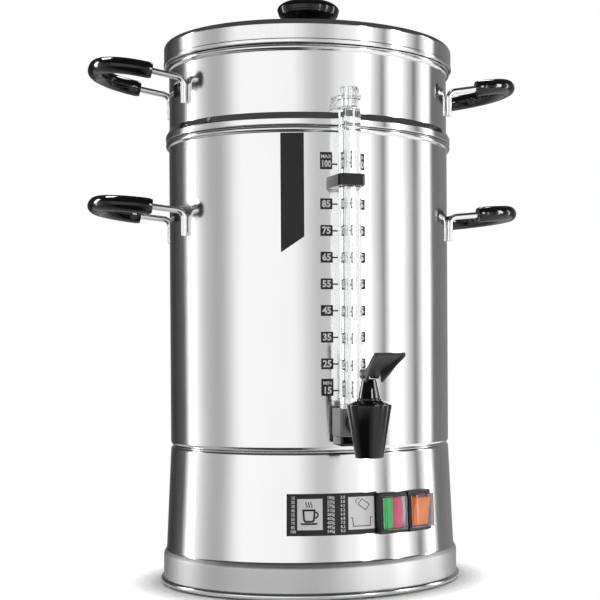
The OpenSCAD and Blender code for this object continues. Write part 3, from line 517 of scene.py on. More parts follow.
def lathe(
    name: str, outline: Sequence[Point], axis: Point = (0, 0), closed: bool = True, sides: int = SIDES
) -> bpy.types.Object:
    """Turns an outline about an upright axis.

    Args:
        name: Name of the object.
        outline: Points (radius, height) of the outline.
        axis: Place (x, y) of the axis.
        closed: Whether the last point joins the first; if not, both lie on the axis.
        sides: Number of sides of the turned piece.

    Returns:
        The turned object.
    """
    mesh = bmesh.new()
    rings: list[list[bmesh.types.BMVert]] = []
    for radius, height in outline:
        count = 1 if radius < 1e-7 else sides
        angles = [2 * math.pi * k / sides for k in range(count)]
        rings.append([
            mesh.verts.new((axis[0] + radius * math.cos(a), axis[1] + radius * math.sin(a), height))
            for a in angles
        ])
    pairs = list(zip(rings, rings[1:])) + ([(rings[-1], rings[0])] if closed else [])
    for lower, upper in pairs:
        for k in range(sides):
            corners = [
                lower[k % len(lower)], lower[(k + 1) % len(lower)],
                upper[(k + 1) % len(upper)], upper[k % len(upper)],
            ]
            face = list(dict.fromkeys(corners))
            if len(face) > 2:
                mesh.faces.new(face)
    bmesh.ops.recalc_face_normals(mesh, faces=mesh.faces)
    return soften(new_object(name, mesh))


def evaluated(obj: bpy.types.Object) -> bpy.types.Object:
    """Applies an object's modifiers to its mesh and removes them.

    Args:
        obj: The object to apply.

    Returns:
        The same object, with a plain mesh.
    """
    graph = bpy.context.evaluated_depsgraph_get()
    data = bpy.data.meshes.new_from_object(obj.evaluated_get(graph), depsgraph=graph)
    obj.modifiers.clear()
    old = obj.data
    obj.data = data
    data.name = obj.name
    bpy.data.meshes.remove(old)
    return obj


def copy_of(node: str, name: str, bevel: float = 0.0, segments: int = 3) -> bpy.types.Object:
    """Copies a CAD node as one merged mesh with eased edges.

    Args:
        node: Name of the CAD node.
        name: Name of the new object.
        bevel: Width of the eased edges, or 0 for none.
        segments: Faces across an eased edge.

    Returns:
        The new object.
    """
    mesh = bmesh.new()
    mesh.from_mesh(frame["nodes"][node].data)
    bmesh.ops.remove_doubles(mesh, verts=mesh.verts, dist=MERGE)
    bmesh.ops.dissolve_limit(
        mesh,
        angle_limit=math.radians(FLAT_TURN),
        verts=mesh.verts,
        edges=mesh.edges,
        delimit={"NORMAL"},
    )
    obj = new_object(name, mesh)
    obj.data.materials.clear()
    if bevel:
        cut = obj.modifiers.new("edges", "BEVEL")
        cut.width = bevel
        cut.segments = segments
        cut.limit_method = "ANGLE"
        cut.angle_limit = math.radians(EDGE_TURN)
        evaluated(obj)
    return soften(obj)


class NodeTool:
    """A Geometry Nodes tree with named inputs, which ends in one painted mesh."""

    def __init__(self, name: str) -> None:
        """Starts the tree.

        Args:
            name: Name of the tree.
        """
        self.tree = bpy.data.node_groups.new(name, "GeometryNodeTree")
        self.graph = Graph(self.tree)
        for way in ("INPUT", "OUTPUT"):
            self.tree.interface.new_socket("Geometry", in_out=way, socket_type="NodeSocketGeometry")
        self.source = self.graph.add("NodeGroupInput")

    def size(self, name: str, kind: str = "NodeSocketFloat") -> bpy.types.NodeSocket:
        """Adds a named input.

        Args:
            name: Name of the input.
            kind: Type of its socket.

        Returns:
            The input's socket inside the tree.
        """
        self.tree.interface.new_socket(name, in_out="INPUT", socket_type=kind)
        return self.source.outputs[name]

    def close(self, geometry: bpy.types.NodeSocket) -> None:
        """Ends the tree: real geometry, painted.

        Args:
            geometry: Socket of the geometry to give out.
        """
        real = self.graph.add("GeometryNodeRealizeInstances", {"Geometry": geometry}).outputs[0]
        paint = self.size("Material", "NodeSocketMaterial")
        painted = self.graph.add("GeometryNodeSetMaterial", {"Geometry": real, "Material": paint})
        self.graph.add("NodeGroupOutput", {"Geometry": painted.outputs[0]})

    def run(self, obj: bpy.types.Object, **values: object) -> bpy.types.Object:
        """Runs the tree on an object and keeps the result as its mesh.

        Args:
            obj: The object whose mesh goes in.
            **values: Values of the named inputs, with _ for a space.

        Returns:
            The same object, with the result as a plain mesh.
        """
        modifier = obj.modifiers.new(self.tree.name, "NODES")
        modifier.node_group = self.tree
        for item in self.tree.interface.items_tree:
            key = item.name.replace(" ", "_").lower()
            if item.in_out == "INPUT" and key in values:
                modifier[item.identifier] = values[key]
        return evaluated(obj)


class Tools:
    """The urn's Geometry Nodes trees, each made at its first use."""

    @staticmethod
    @cache
    def bent_bar() -> NodeTool:
        """Gives the tree that bends a round bar along a polyline.

        Returns:
            The tree: its input is a polyline whose points carry their bend radius.
        """
        tool = NodeTool("bent_bar")
        girth = tool.size("Girth")
        ends = tool.size("End Share")
        graph = tool.graph
        bend = graph.add("GeometryNodeInputNamedAttribute", {"Name": "bend"}, data_type="FLOAT")
        line = graph.add("GeometryNodeMeshToCurve", {"Mesh": tool.source.outputs["Geometry"]})
        path = graph.add(
            "GeometryNodeFilletCurve",
            {"Curve": line.outputs[0], "Count": 16, "Radius": bend.outputs[0], "Limit Radius": True},
            mode="POLY",
        )
        along = graph.add("GeometryNodeSplineParameter").outputs["Factor"]
        from_end = graph.math("MINIMUM", along, graph.math("SUBTRACT", 1.0, along))
        fill = graph.math("MINIMUM", graph.math("DIVIDE", from_end, ends), 1.0)
        swell = graph.math("ADD", 0.9, graph.math("MULTIPLY", 0.1, graph.math("SQRT", fill)))
        sized = graph.add("GeometryNodeSetCurveRadius", {"Curve": path.outputs[0], "Radius": swell})
        ring = graph.add("GeometryNodeCurvePrimitiveCircle", {"Resolution": 28, "Radius": girth})
        sweep = graph.add(
            "GeometryNodeCurveToMesh",
            {"Curve": sized.outputs[0], "Profile Curve": ring.outputs[0], "Fill Caps": True},
        )
        if "Scale" in sweep.inputs:
            tool.tree.links.new(swell, sweep.inputs["Scale"])
        tool.close(sweep.outputs[0])
        return tool

    @staticmethod
    @cache
    def spread() -> NodeTool:
        """Gives the tree that puts a copy of one item on each point.

        Returns:
            The tree: each copy is turned about Z so that its -Y side faces away from the centre.
        """
        tool = NodeTool("spread")
        item = tool.size("Item", "NodeSocketObject")
        centre = tool.size("Centre", "NodeSocketVector")
        graph = tool.graph
        position = graph.add("GeometryNodeInputPosition").outputs[0]
        place = graph.add("ShaderNodeSeparateXYZ", {0: position}).outputs
        back = graph.math("MULTIPLY", place["Y"], -1.0)
        turn = graph.math("ARCTAN2", place["X"], back)
        rotation = graph.add("ShaderNodeCombineXYZ", {"Z": turn}).outputs[0]
        shape = graph.add("GeometryNodeObjectInfo", {"Object": item}).outputs["Geometry"]
        copies = graph.add(
            "GeometryNodeInstanceOnPoints",
            {"Points": tool.source.outputs["Geometry"], "Instance": shape, "Rotation": rotation},
        )
        moved = graph.add(
            "GeometryNodeTransform", {"Geometry": copies.outputs[0], "Translation": centre}
        )
        tool.close(moved.outputs[0])
        return tool

    @staticmethod
    @cache
    def perforate() -> NodeTool:
        """Gives the tree that drills a round hole through a plate at each point.

        Returns:
            The tree: its input holds the holes' places.
        """
        tool = NodeTool("perforate")
        plate = tool.size("Plate", "NodeSocketObject")
        radius = tool.size("Hole Radius")
        depth = tool.size("Depth")
        graph = tool.graph
        shape = graph.add("GeometryNodeObjectInfo", {"Object": plate}).outputs["Geometry"]
        drill = graph.add(
            "GeometryNodeMeshCylinder", {"Vertices": 20, "Radius": radius, "Depth": depth}
        ).outputs["Mesh"]
        drills = graph.add(
            "GeometryNodeInstanceOnPoints",
            {"Points": tool.source.outputs["Geometry"], "Instance": drill},
        )
        solid = graph.add("GeometryNodeRealizeInstances", {"Geometry": drills.outputs[0]})
        cut = graph.add(
            "GeometryNodeMeshBoolean",
            {"Mesh 1": shape, "Mesh 2": solid.outputs[0]},
            operation="DIFFERENCE",
            solver="EXACT",
        )
        tool.close(cut.outputs["Mesh"])
        return tool


def points_object(name: str, places: Iterable[Sequence[float]]) -> bpy.types.Object:
    """Makes an object of loose points.

    Args:
        name: Name of the object.
        places: Places of the points.

    Returns:
        The new object.
    """
    mesh = bmesh.new()
    for place in places:
        mesh.verts.new(place)
    return new_object(name, mesh)


def spread_copies(
    name: str,
    item: bpy.types.Object,
    places: Iterable[Sequence[float]],
    finish: Finish,
    centre: Sequence[float] = (0, 0, 0),
) -> bpy.types.Object:
    """Puts a copy of an item on each place, facing away from the centre, and removes the item.

    Args:
        name: Name of the new object.
        item: The item, at the origin, with its outer side towards -Y.
        places: Places of the copies, about the centre.
        finish: Finish of the copies.
        centre: Shift of the whole set.

    Returns:
        The new object.
    """
    obj = points_object(name, places)
    Tools.spread().run(obj, item=item, centre=tuple(centre), material=finish.material())
    bpy.data.objects.remove(item)
    return soften(obj)


def perforated(
    plate: bpy.types.Object,
    holes: Iterable[Sequence[float]],
    radius: float,
    depth: float,
    finish: Finish,
) -> bpy.types.Object:
    """Drills round holes through a plate, which is replaced by the result.

    Args:
        plate: The plate; it is removed.
        holes: Centres of the holes.
        radius: Radius of the holes.
        depth: Length of the drill.
        finish: Finish of the plate.

    Returns:
        The perforated object, under the plate's name.
    """
    name = plate.name
    plate.name = f"{name}.blank"
    obj = points_object(name, holes)
    Tools.perforate().run(obj, plate=plate, hole_radius=radius, depth=depth, material=finish.material())
    bpy.data.objects.remove(plate)
    return soften(obj)


def on_circle(radius: float, height: float, count: int, first: float = 0.0) -> list[Vector]:
    """Spaces places evenly on a circle about the Z axis.

    Args:
        radius: Radius of the circle.
        height: Its height.
        count: Number of places.
        first: Angle of the first place in degrees.

    Returns:
        The places.
    """
    angles = [math.radians(first) + 2 * math.pi * k / count for k in range(count)]
    return [Vector((radius * math.cos(a), radius * math.sin(a), height)) for a in angles]


@dataclass(frozen=True)
class Wall:
    """A round wall that prints lie on: a cylinder, or a cone that narrows upwards."""

    radius: float
    level: float = 0.0
    taper: float = 0.0

    def at(self, along: float, height: float, proud: float) -> Vector:
        """Finds a place on the wall.

        Args:
            along: Distance along the wall from the tap's side, to the right.
            height: Height above the floor.
            proud: Distance out of the wall.

        Returns:
            The place.
        """
        angle = along / self.radius
        reach = self.radius - (height - self.level) * self.taper + proud
        return Vector((reach * math.sin(angle), -reach * math.cos(angle), height))


class Print:
    """Ink on a round wall, drawn flat and then wrapped as a thin solid."""

    STEP: ClassVar[float] = 3 * MM
    CAPITAL: ClassVar[float] = 0.7

    def __init__(self, low: float, high: float) -> None:
        """Starts an empty layer.

        Args:
            low: Height of the layer's underside out of the wall.
            high: Height of its face.
        """
        self.low = low
        self.high = high
        self.mesh = bmesh.new()

    def shape(self, outline: Sequence[Point]) -> None:
        """Draws a filled outline.

        Args:
            outline: Corner points (along the wall, height).
        """
        top = [self.mesh.verts.new((x, y, self.high)) for x, y in outline]
        base = [self.mesh.verts.new((x, y, self.low)) for x, y in outline]
        self.mesh.faces.new(top)
        self.mesh.faces.new(base[::-1])
        for i in range(len(top)):
            j = (i + 1) % len(top)
            self.mesh.faces.new((base[i], base[j], top[j], top[i]))

    def bar(self, left: float, right: float, low: float, high: float) -> None:
        """Draws a filled rectangle."""
        self.shape([(left, low), (right, low), (right, high), (left, high)])

    def ribbon(self, path: Sequence[Point], width: float) -> None:
        """Draws a line of even width.

        Args:
            path: Points of the line.
            width: Its width.
        """
        left = inset(path, width / 2)
        right = inset(path, -width / 2)
        for i in range(len(path) - 1):
            self.shape([right[i], right[i + 1], left[i + 1], left[i]])

    def text(
        self, words: str, at: Point, height: float, weight: float = 0.02, squeeze: float = 1.0
    ) -> None:
        """Draws text centred on a point.

        Args:
            words: The text.
            at: Its middle.
            height: Height of its capitals.
            weight: Thickening of the strokes, as a share of the size.
            squeeze: Factor on the width.
        """
        size = height / self.CAPITAL
        curve = bpy.data.curves.new("words", "FONT")
        curve.body = words
        curve.size = size
        curve.align_x = "CENTER"
        curve.align_y = "CENTER"
        curve.offset = weight * size
        curve.extrude = (self.high - self.low) / 2
        curve.resolution_u = 2
        holder = bpy.data.objects.new("words", curve)
        bpy.context.collection.objects.link(holder)
        graph = bpy.context.evaluated_depsgraph_get()
        flat = bpy.data.meshes.new_from_object(holder.evaluated_get(graph), depsgraph=graph)
        middle = Vector((at[0], at[1], (self.low + self.high) / 2))
        flat.transform(Matrix.Translation(middle) @ Matrix.Diagonal((squeeze, 1, 1, 1)))
        self.mesh.from_mesh(flat)
        bpy.data.objects.remove(holder)
        bpy.data.curves.remove(curve)
        bpy.data.meshes.remove(flat)

    def wrapped(self, name: str, wall: Wall) -> bpy.types.Object:
        """Wraps the layer on a wall.

        Args:
            name: Name of the object.
            wall: The wall to lie on.

        Returns:
            The new object.
        """
        mesh = self.mesh
        bmesh.ops.remove_doubles(mesh, verts=mesh.verts, dist=0.001 * MM)
        spread = [vert.co.x for vert in mesh.verts]
        for k in range(math.ceil(min(spread) / self.STEP), math.floor(max(spread) / self.STEP) + 1):
            parts = [*mesh.verts, *mesh.edges, *mesh.faces]
            bmesh.ops.bisect_plane(mesh, geom=parts, plane_co=(k * self.STEP, 0, 0), plane_no=(1, 0, 0))
        bmesh.ops.triangulate(mesh, faces=mesh.faces)
        for vert in mesh.verts:
            vert.co = wall.at(*vert.co)
        bmesh.ops.recalc_face_normals(mesh, faces=mesh.faces)
        return soften(new_object(name, mesh))


class Assembly:
    """A sub-assembly of the urn, whose pieces ride on one body unless they say another."""

    body: Body = Body.URN

    def show(
        self, obj: bpy.types.Object, finish: Finish, *nodes: str, body: Body | None = None
    ) -> bpy.types.Object:
        """Gives a piece its finish and its body.

        Args:
            obj: The piece.
            finish: Its finish.
            *nodes: CAD nodes that it stands for.
            body: The body that it rides on, if not the assembly's.

        Returns:
            The same piece.
        """
        obj.data.materials.clear()
        obj.data.materials.append(finish.material())
        carrier = (body or self.body).value
        if nodes:
            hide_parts(*nodes)
        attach(obj, carrier)
        log.info("%s rides on %s in %s", obj.name, carrier, finish.name)
        return obj

    def dress(self, finish: Finish, *nodes: str) -> None:
        """Gives CAD nodes that stay a finish.

        Args:
            finish: Their finish.
            *nodes: Names of the nodes.
        """
        for node in nodes:
            obj = frame["nodes"][node]
            obj.data.materials.clear()
            obj.data.materials.append(finish.material())
            log.info("%s stays as it is in %s", node, finish.name)

    def ease(
        self, finish: Finish, node: str, bevel: float, body: Body | None = None
    ) -> bpy.types.Object:
        """Shows a CAD node as a smooth copy with eased edges.

        Args:
            finish: Its finish.
            node: Name of the node.
            bevel: Width of the eased edges.
            body: The body that it rides on, if not the assembly's.

        Returns:
            The new piece.
        """
        return self.show(copy_of(node, f"{node}_eased", bevel), finish, node, body=body)


@dataclass
class Base(Assembly):
    """The heated base: conical jacket with a foot band, floor plate, feet and inlet bush."""

    roll_centre: Point = (141.0 * MM, 4 * MM)
    roll_radius: float = 3 * MM
    roll_angles: Point = (-190, 82)
    band_radius: float = 141.25 * MM
    band_low: float = 6.8 * MM
    band_top: float = 27 * MM
    step_width: float = 2.85 * MM
    cone_low: float = 35 * MM
    band_margin: float = 3 * MM
    cone_top: float = 127 * MM
    cone_radius: float = 138.4 * MM
    cone_loss: float = 4.4 * MM
    seam_round: float = 4 * MM
    ledge_radius: float = 118 * MM
    sheet: float = 1 * MM
    feet_radius: float = 110 * MM
    foot_height: float = 8 * MM
    foot_radius: float = 12 * MM
    foot_draft: float = 1.5 * MM
    foot_bore: float = 5 * MM
    screw_bore: float = 2.2 * MM
    head_depth: float = 3 * MM
    foot_ease: float = 0.8 * MM

    def wall(self) -> Wall:
        """Gives the cone that the label lies on."""
        return Wall(self.cone_radius, self.cone_low, self.cone_loss / (self.cone_top - self.cone_low))

    def build(self) -> None:
        """Builds the jacket, the feet and what shows from below."""
        jacket = self.show(self.jacket(), STEEL, "base_shell")
        jacket.data.materials.append(BAND.material())
        low = self.roll_centre[1] + self.roll_radius
        high = self.cone_low - self.band_margin
        for face in jacket.data.polygons:
            face.material_index = int(low < face.center.z < high)
        self.show(self.feet(), RUBBER, "feet")
        self.ease(ZINC, "plate_screws", 0.3 * MM)
        self.ease(ZINC, "tie_nut", 0.4 * MM)
        self.ease(ZINC, "base_plate", 0.0)
        self.ease(BLACK, "cord_inlet", 0.8 * MM)
        self.dress(ZINC, "tie_rod")

    def jacket(self) -> bpy.types.Object:
        """Turns the jacket from the roll at the foot up to the ledge.

        Returns:
            The jacket.
        """
        steps = 16
        waves = [(i / steps, (1 - math.cos(math.pi * i / steps)) / 2) for i in range(steps + 1)]
        step_height = self.cone_low - self.band_top
        ogee = [
            (self.band_radius - self.step_width * w, self.band_top + step_height * t) for t, w in waves
        ]
        corner = (self.cone_radius - self.cone_loss - self.seam_round, self.cone_top)
        wall = [(self.band_radius, self.band_low), *ogee, *arc(corner, self.seam_round, 0, 90)]
        wall.append((self.ledge_radius, self.cone_top + self.seam_round))
        roll = arc(self.roll_centre, self.roll_radius, *self.roll_angles, 28)
        return lathe("base_jacket", [*roll, *wall[1:], *inset(wall, self.sheet)[::-1]])

    def feet(self) -> bpy.types.Object:
        """Spreads the four rubber feet.

        Returns:
            The feet.
        """
        outline = rounded(
            [
                (self.foot_bore, 0), (self.foot_radius - self.foot_draft, 0),
                (self.foot_radius, self.foot_height), (self.screw_bore, self.foot_height),
                (self.screw_bore, self.head_depth), (self.foot_bore, self.head_depth),
            ],
            self.foot_ease,
        )
        foot = lathe("foot", outline, sides=48)
        return spread_copies("feet_set", foot, on_circle(self.feet_radius, 0, 4, 45), RUBBER)


@dataclass
class Vessel(Assembly):
    """The tall vessel with its rolled rim, heater well, riser and the heater under its floor."""

    radius: float = 134 * MM
    sheet: float = 1 * MM
    floor: float = 131 * MM
    seam_round: float = 4 * MM
    well_radius: float = 35 * MM
    bead_level: float = 416 * MM
    bead_radius: float = 3 * MM

    def wall(self) -> Wall:
        """Gives the cylinder that the scale lies on."""
        return Wall(self.radius)

    def build(self) -> None:
        """Builds the shell and what shows inside and under it."""
        self.show(self.shell(), STEEL, "vessel")
        self.ease(STEEL, "heater_well", 0.3 * MM)
        self.ease(STEEL, "riser_tube", 0.2 * MM)
        self.ease(ALLOY, "heater_plate", 0.4 * MM)
        self.ease(ZINC, "heater_ring", 0.0)
        self.ease(BLACK, "thermostat", 0.3 * MM)
        self.ease(IVORY, "terminal_block", 0.4 * MM)
        self.ease(WIRE, "wires", 0.0)

    def shell(self) -> bpy.types.Object:
        """Turns the vessel from the well's edge to the rolled rim.

        Returns:
            The shell.
        """
        corner = (self.radius - self.seam_round, self.floor + self.seam_round)
        inner = self.radius - self.sheet
        lap = math.degrees(math.acos(-self.sheet / self.bead_radius))
        outside = [
            (self.well_radius, self.floor),
            *arc(corner, self.seam_round, -90, 0),
            *arc((self.radius, self.bead_level), self.bead_radius, -90, lap, 24),
        ]
        inside = [
            (inner, self.bead_level - self.bead_radius),
            *arc(corner, self.seam_round - self.sheet, 0, -90),
            (self.well_radius, self.floor + self.sheet),
        ]
        return lathe("vessel_shell", outside + inside)


@dataclass
class FilterPot(Assembly):
    """The filter pot with its perforated floor, screen, chimney and spreader."""

    body: Body = Body.POT
    radius: float = 133.6 * MM
    sheet: float = 1 * MM
    floor: float = 397.3 * MM
    sunk_radius: float = 130 * MM
    corner: float = 6 * MM
    seat: float = 419.3 * MM
    shoulder_radius: float = 137 * MM
    shoulder_top: float = 424.8 * MM
    slope_top: float = 430.8 * MM
    bead_level: float = 488 * MM
    bead_radius: float = 3 * MM
    hole_radius: float = 12.2 * MM
    drain_radius: float = 7 * MM
    # Radius of each ring of drains and its number of holes.
    drains: tuple[tuple[float, int], ...] = ((43.4 * MM, 7), (76.9 * MM, 12), (106.6 * MM, 17))
    screen_radius: float = 120 * MM
    screen_level: float = 398.4 * MM
    screen_sheet: float = 1.2 * MM
    spreader_radius: float = 126.6 * MM
    spreader_level: float = 459.3 * MM
    spreader_rim: float = 5 * MM
    small_hole: float = 2 * MM
    seat_lip: float = 4 * MM
    bend: float = 1.1 * MM
    screen_hole: float = 13 * MM
    screen_ring: float = 22 * MM
    screen_rows: int = 9
    spreader_hole: float = 12.1 * MM
    spreader_ring: float = 26 * MM
    spreader_rows: int = 7
    ring_margin: float = 8 * MM
    ring_holes: int = 6
    ring_growth: float = 2.4

    def build(self) -> None:
        """Builds the shell and its inner pieces."""
        self.show(self.shell(), STEEL, "pot_shell")
        self.show(self.screen(), STEEL, "pot_screen")
        self.show(self.spreader(), STEEL, "spreader")
        self.ease(STEEL, "pot_chimney", 0.3 * MM)

    def shell(self) -> bpy.types.Object:
        """Turns the pot and drills its drains.

        Returns:
            The shell.
        """
        lap = math.degrees(math.acos(-self.sheet / self.bead_radius))
        path = [
            (self.hole_radius, self.floor),
            *arc((self.sunk_radius - self.corner, self.floor + self.corner), self.corner, -90, 0),
            *rounded(
                [
                    (self.sunk_radius, self.seat - self.seat_lip), (self.sunk_radius, self.seat),
                    (self.shoulder_radius, self.seat), (self.shoulder_radius, self.shoulder_top),
                    (self.radius, self.slope_top), (self.radius, self.bead_level - self.bead_radius),
                ],
                self.bend, closed=False,
            ),
        ]
        bead = arc((self.radius, self.bead_level), self.bead_radius, -90, lap, 24)
        shell = lathe("pot_wall", [*path, *bead[1:], *inset(path, self.sheet)[::-1]])
        middle = self.floor + self.sheet / 2
        holes = [place for radius, count in self.drains for place in on_circle(radius, middle, count)]
        return perforated(shell, holes, self.drain_radius, 4 * self.sheet, STEEL)

    def rings(self, first: float, last: float, rows: int, height: float) -> list[Vector]:
        """Places small holes in rings.

        Args:
            first: Radius of the first ring.
            last: Radius of the last ring.
            rows: Number of rings.
            height: Their height.

        Returns:
            The holes' centres.
        """
        places: list[Vector] = []
        for row in range(rows):
            count = math.floor(self.ring_holes + self.ring_growth * row)
            radius = first + (last - first) * row / (rows - 1)
            places += on_circle(radius, height, count, 180 / count * (row % 2))
        return places

    def screen(self) -> bpy.types.Object:
        """Makes the perforated screen on the floor.

        Returns:
            The screen.
        """
        low, high = self.screen_level, self.screen_level + self.screen_sheet
        outline = [
            (self.screen_hole, low), (self.screen_radius, low),
            (self.screen_radius, high), (self.screen_hole, high),
        ]
        blank = lathe("screen_plate", outline)
        last = self.screen_radius - self.ring_margin
        holes = self.rings(self.screen_ring, last, self.screen_rows, (low + high) / 2)
        return perforated(blank, holes, self.small_hole, 4 * self.screen_sheet, STEEL)

    def spreader(self) -> bpy.types.Object:
        """Makes the dished spreader over the chimney.

        Returns:
            The spreader.
        """
        low, rim = self.spreader_level, self.spreader_level + self.spreader_rim
        inner = self.spreader_radius - self.sheet
        outline = [
            (self.spreader_hole, low), (self.spreader_radius, low), (self.spreader_radius, rim),
            (inner, rim), (inner, low + self.sheet), (self.spreader_hole, low + self.sheet),
        ]
        blank = lathe("spreader_plate", outline)
        last = self.spreader_radius - self.ring_margin
        holes = self.rings(self.spreader_ring, last, self.spreader_rows, low + self.sheet / 2)
        return perforated(blank, holes, self.small_hole, 4 * self.sheet, STEEL)


@dataclass
class Lid(Assembly):
    """The domed lid with its knob."""

    body: Body = Body.LID
    sheet: float = 1 * MM
    plug_radius: float = 130.6 * MM
    plug_low: float = 483.3 * MM
    seat: float = 491.3 * MM
    hem_radius: float = 138.7 * MM
    hem_top: float = 494.5 * MM
    radius: float = 138.3 * MM
    edge_round: float = 5.7 * MM
    edge: float = 513 * MM
    dome_height: float = 14 * MM
    hole_radius: float = 2.5 * MM
    hem_lip: float = 0.4 * MM
    hem_bend: float = 0.7 * MM
    knob_low: float = 529 * MM
    knob_bore_top: float = 542 * MM
    # Radius and height from the knob's foot to the underside of its crown.
    knob_neck: tuple[Point, ...] = (
        (18 * MM, 529 * MM), (16 * MM, 533 * MM), (16 * MM, 538 * MM), (24 * MM, 543 * MM),
        (28.2 * MM, 545 * MM),
    )
    neck_bend: float = 3 * MM
    crown_core: float = 3 * MM
    crown_reach: float = 27 * MM
    crown_level: float = 551 * MM
    crown_height: float = 10 * MM

    def build(self) -> None:
        """Builds the shell, the knob and its fixing."""
        self.show(self.shell(), STEEL, "lid_shell")
        self.show(self.knob(), BLACK, "lid_knob")
        self.ease(ZINC, "knob_washer", 0.3 * MM)
        self.ease(ZINC, "knob_screw", 0.3 * MM)

    def shell(self) -> bpy.types.Object:
        """Turns the lid from its locating ring to the knob's hole.

        Returns:
            The shell.
        """
        edge_radius = self.radius - self.edge_round
        steps = 24
        span = self.hole_radius - edge_radius
        radii = [edge_radius + span * i / steps for i in range(1, steps + 1)]
        dome = [(r, self.edge + self.dome_height * (1 - (r / edge_radius) ** 2)) for r in radii]
        hem = rounded(
            [
                (self.plug_radius, self.plug_low), (self.plug_radius, self.seat),
                (self.hem_radius, self.seat), (self.hem_radius, self.hem_top),
                (self.radius, self.hem_top + self.hem_lip), (self.radius, self.edge - self.edge_round),
            ],
            self.hem_bend, closed=False,
        )
        rim = arc((edge_radius, self.edge - self.edge_round), self.edge_round, 0, 80, 14)
        path = [*hem, *rim[1:], *dome]
        return lathe("lid_dome", [*path, *inset(path, self.sheet)[::-1]])

    def knob(self) -> bpy.types.Object:
        """Turns the mushroom knob.

        Returns:
            The knob.
        """
        crown = [
            (self.crown_core + self.crown_reach * x, self.crown_level + self.crown_height * y)
            for x, y in arc((0, 0), 1, 0, 90, 18)
        ]
        low = (self.hole_radius, self.knob_low)
        neck = rounded([low, *self.knob_neck, crown[0]], self.neck_bend, closed=False)
        bore = [(0, self.knob_bore_top), (self.hole_radius, self.knob_bore_top)]
        top = (0, self.crown_level + self.crown_height)
        return lathe("knob_turned", [*bore, *neck[:-1], *crown, top], closed=False)


@dataclass
class Handle(Assembly):
    """A bent wire handle with a moulded grip."""

    node: str
    side: Side
    foot: Point
    tilt: float
    body: Body = Body.URN
    half_span: float = 48 * MM
    leg: float = 23 * MM
    run: float = 75 * MM
    bare: float = 29 * MM
    rod_radius: float = 2.9 * MM
    grip_radius: float = 7.5 * MM
    leg_bend: float = 7.3 * MM
    grip_bend: float = 43 * MM
    rod_ends: float = 0.001
    grip_ends: float = 0.008

    def build(self) -> None:
        """Bends the rod and the grip."""
        suffix = self.side.name.lower()
        lean = math.radians(self.tilt)
        tip = (self.run * math.cos(lean), self.run * math.sin(lean))
        start = (self.bare * math.cos(lean), self.bare * math.sin(lean))
        half_rod = [((0, -self.leg), 0.0), ((0, 0), self.leg_bend), (tip, self.grip_bend)]
        half_grip = [(start, 0.0), (tip, self.grip_bend)]
        rod_name, grip_name = f"{self.node}_rod_{suffix}", f"{self.node}_hold_{suffix}"
        rod = self.bent(rod_name, half_rod, self.rod_radius, self.rod_ends, STEEL)
        grip = self.bent(grip_name, half_grip, self.grip_radius, self.grip_ends, BLACK)
        self.show(rod, STEEL, f"{self.node}_handle_{suffix}")
        self.show(grip, BLACK, f"{self.node}_grip_{suffix}")

    def bent(
        self, name: str, half: Sequence[tuple[Point, float]], girth: float, ends: float, finish: Finish
    ) -> bpy.types.Object:
        """Bends a round bar along one half of the handle and its mirror image.

        Args:
            name: Name of the object.
            half: Places (outwards, up) from one end to the middle, each with its bend radius.
            girth: Radius of the bar.
            ends: Share of the length over which the ends are rounded off.
            finish: Its finish.

        Returns:
            The bar.
        """
        near = [((out, -self.half_span, up), bend) for (out, up), bend in half]
        far = [((out, self.half_span, up), bend) for (out, up), bend in half[::-1]]
        mesh = bmesh.new()
        layer = mesh.verts.layers.float.new("bend")
        verts = []
        for (out, across, up), bend in near + far:
            vert = mesh.verts.new((self.side.value * (self.foot[0] + out), across, self.foot[1] + up))
            vert[layer] = bend
            verts.append(vert)
        for a, b in zip(verts, verts[1:]):
            mesh.edges.new((a, b))
        obj = new_object(name, mesh)
        Tools.bent_bar().run(obj, girth=girth, end_share=ends, material=finish.material())
        return soften(obj, 50)


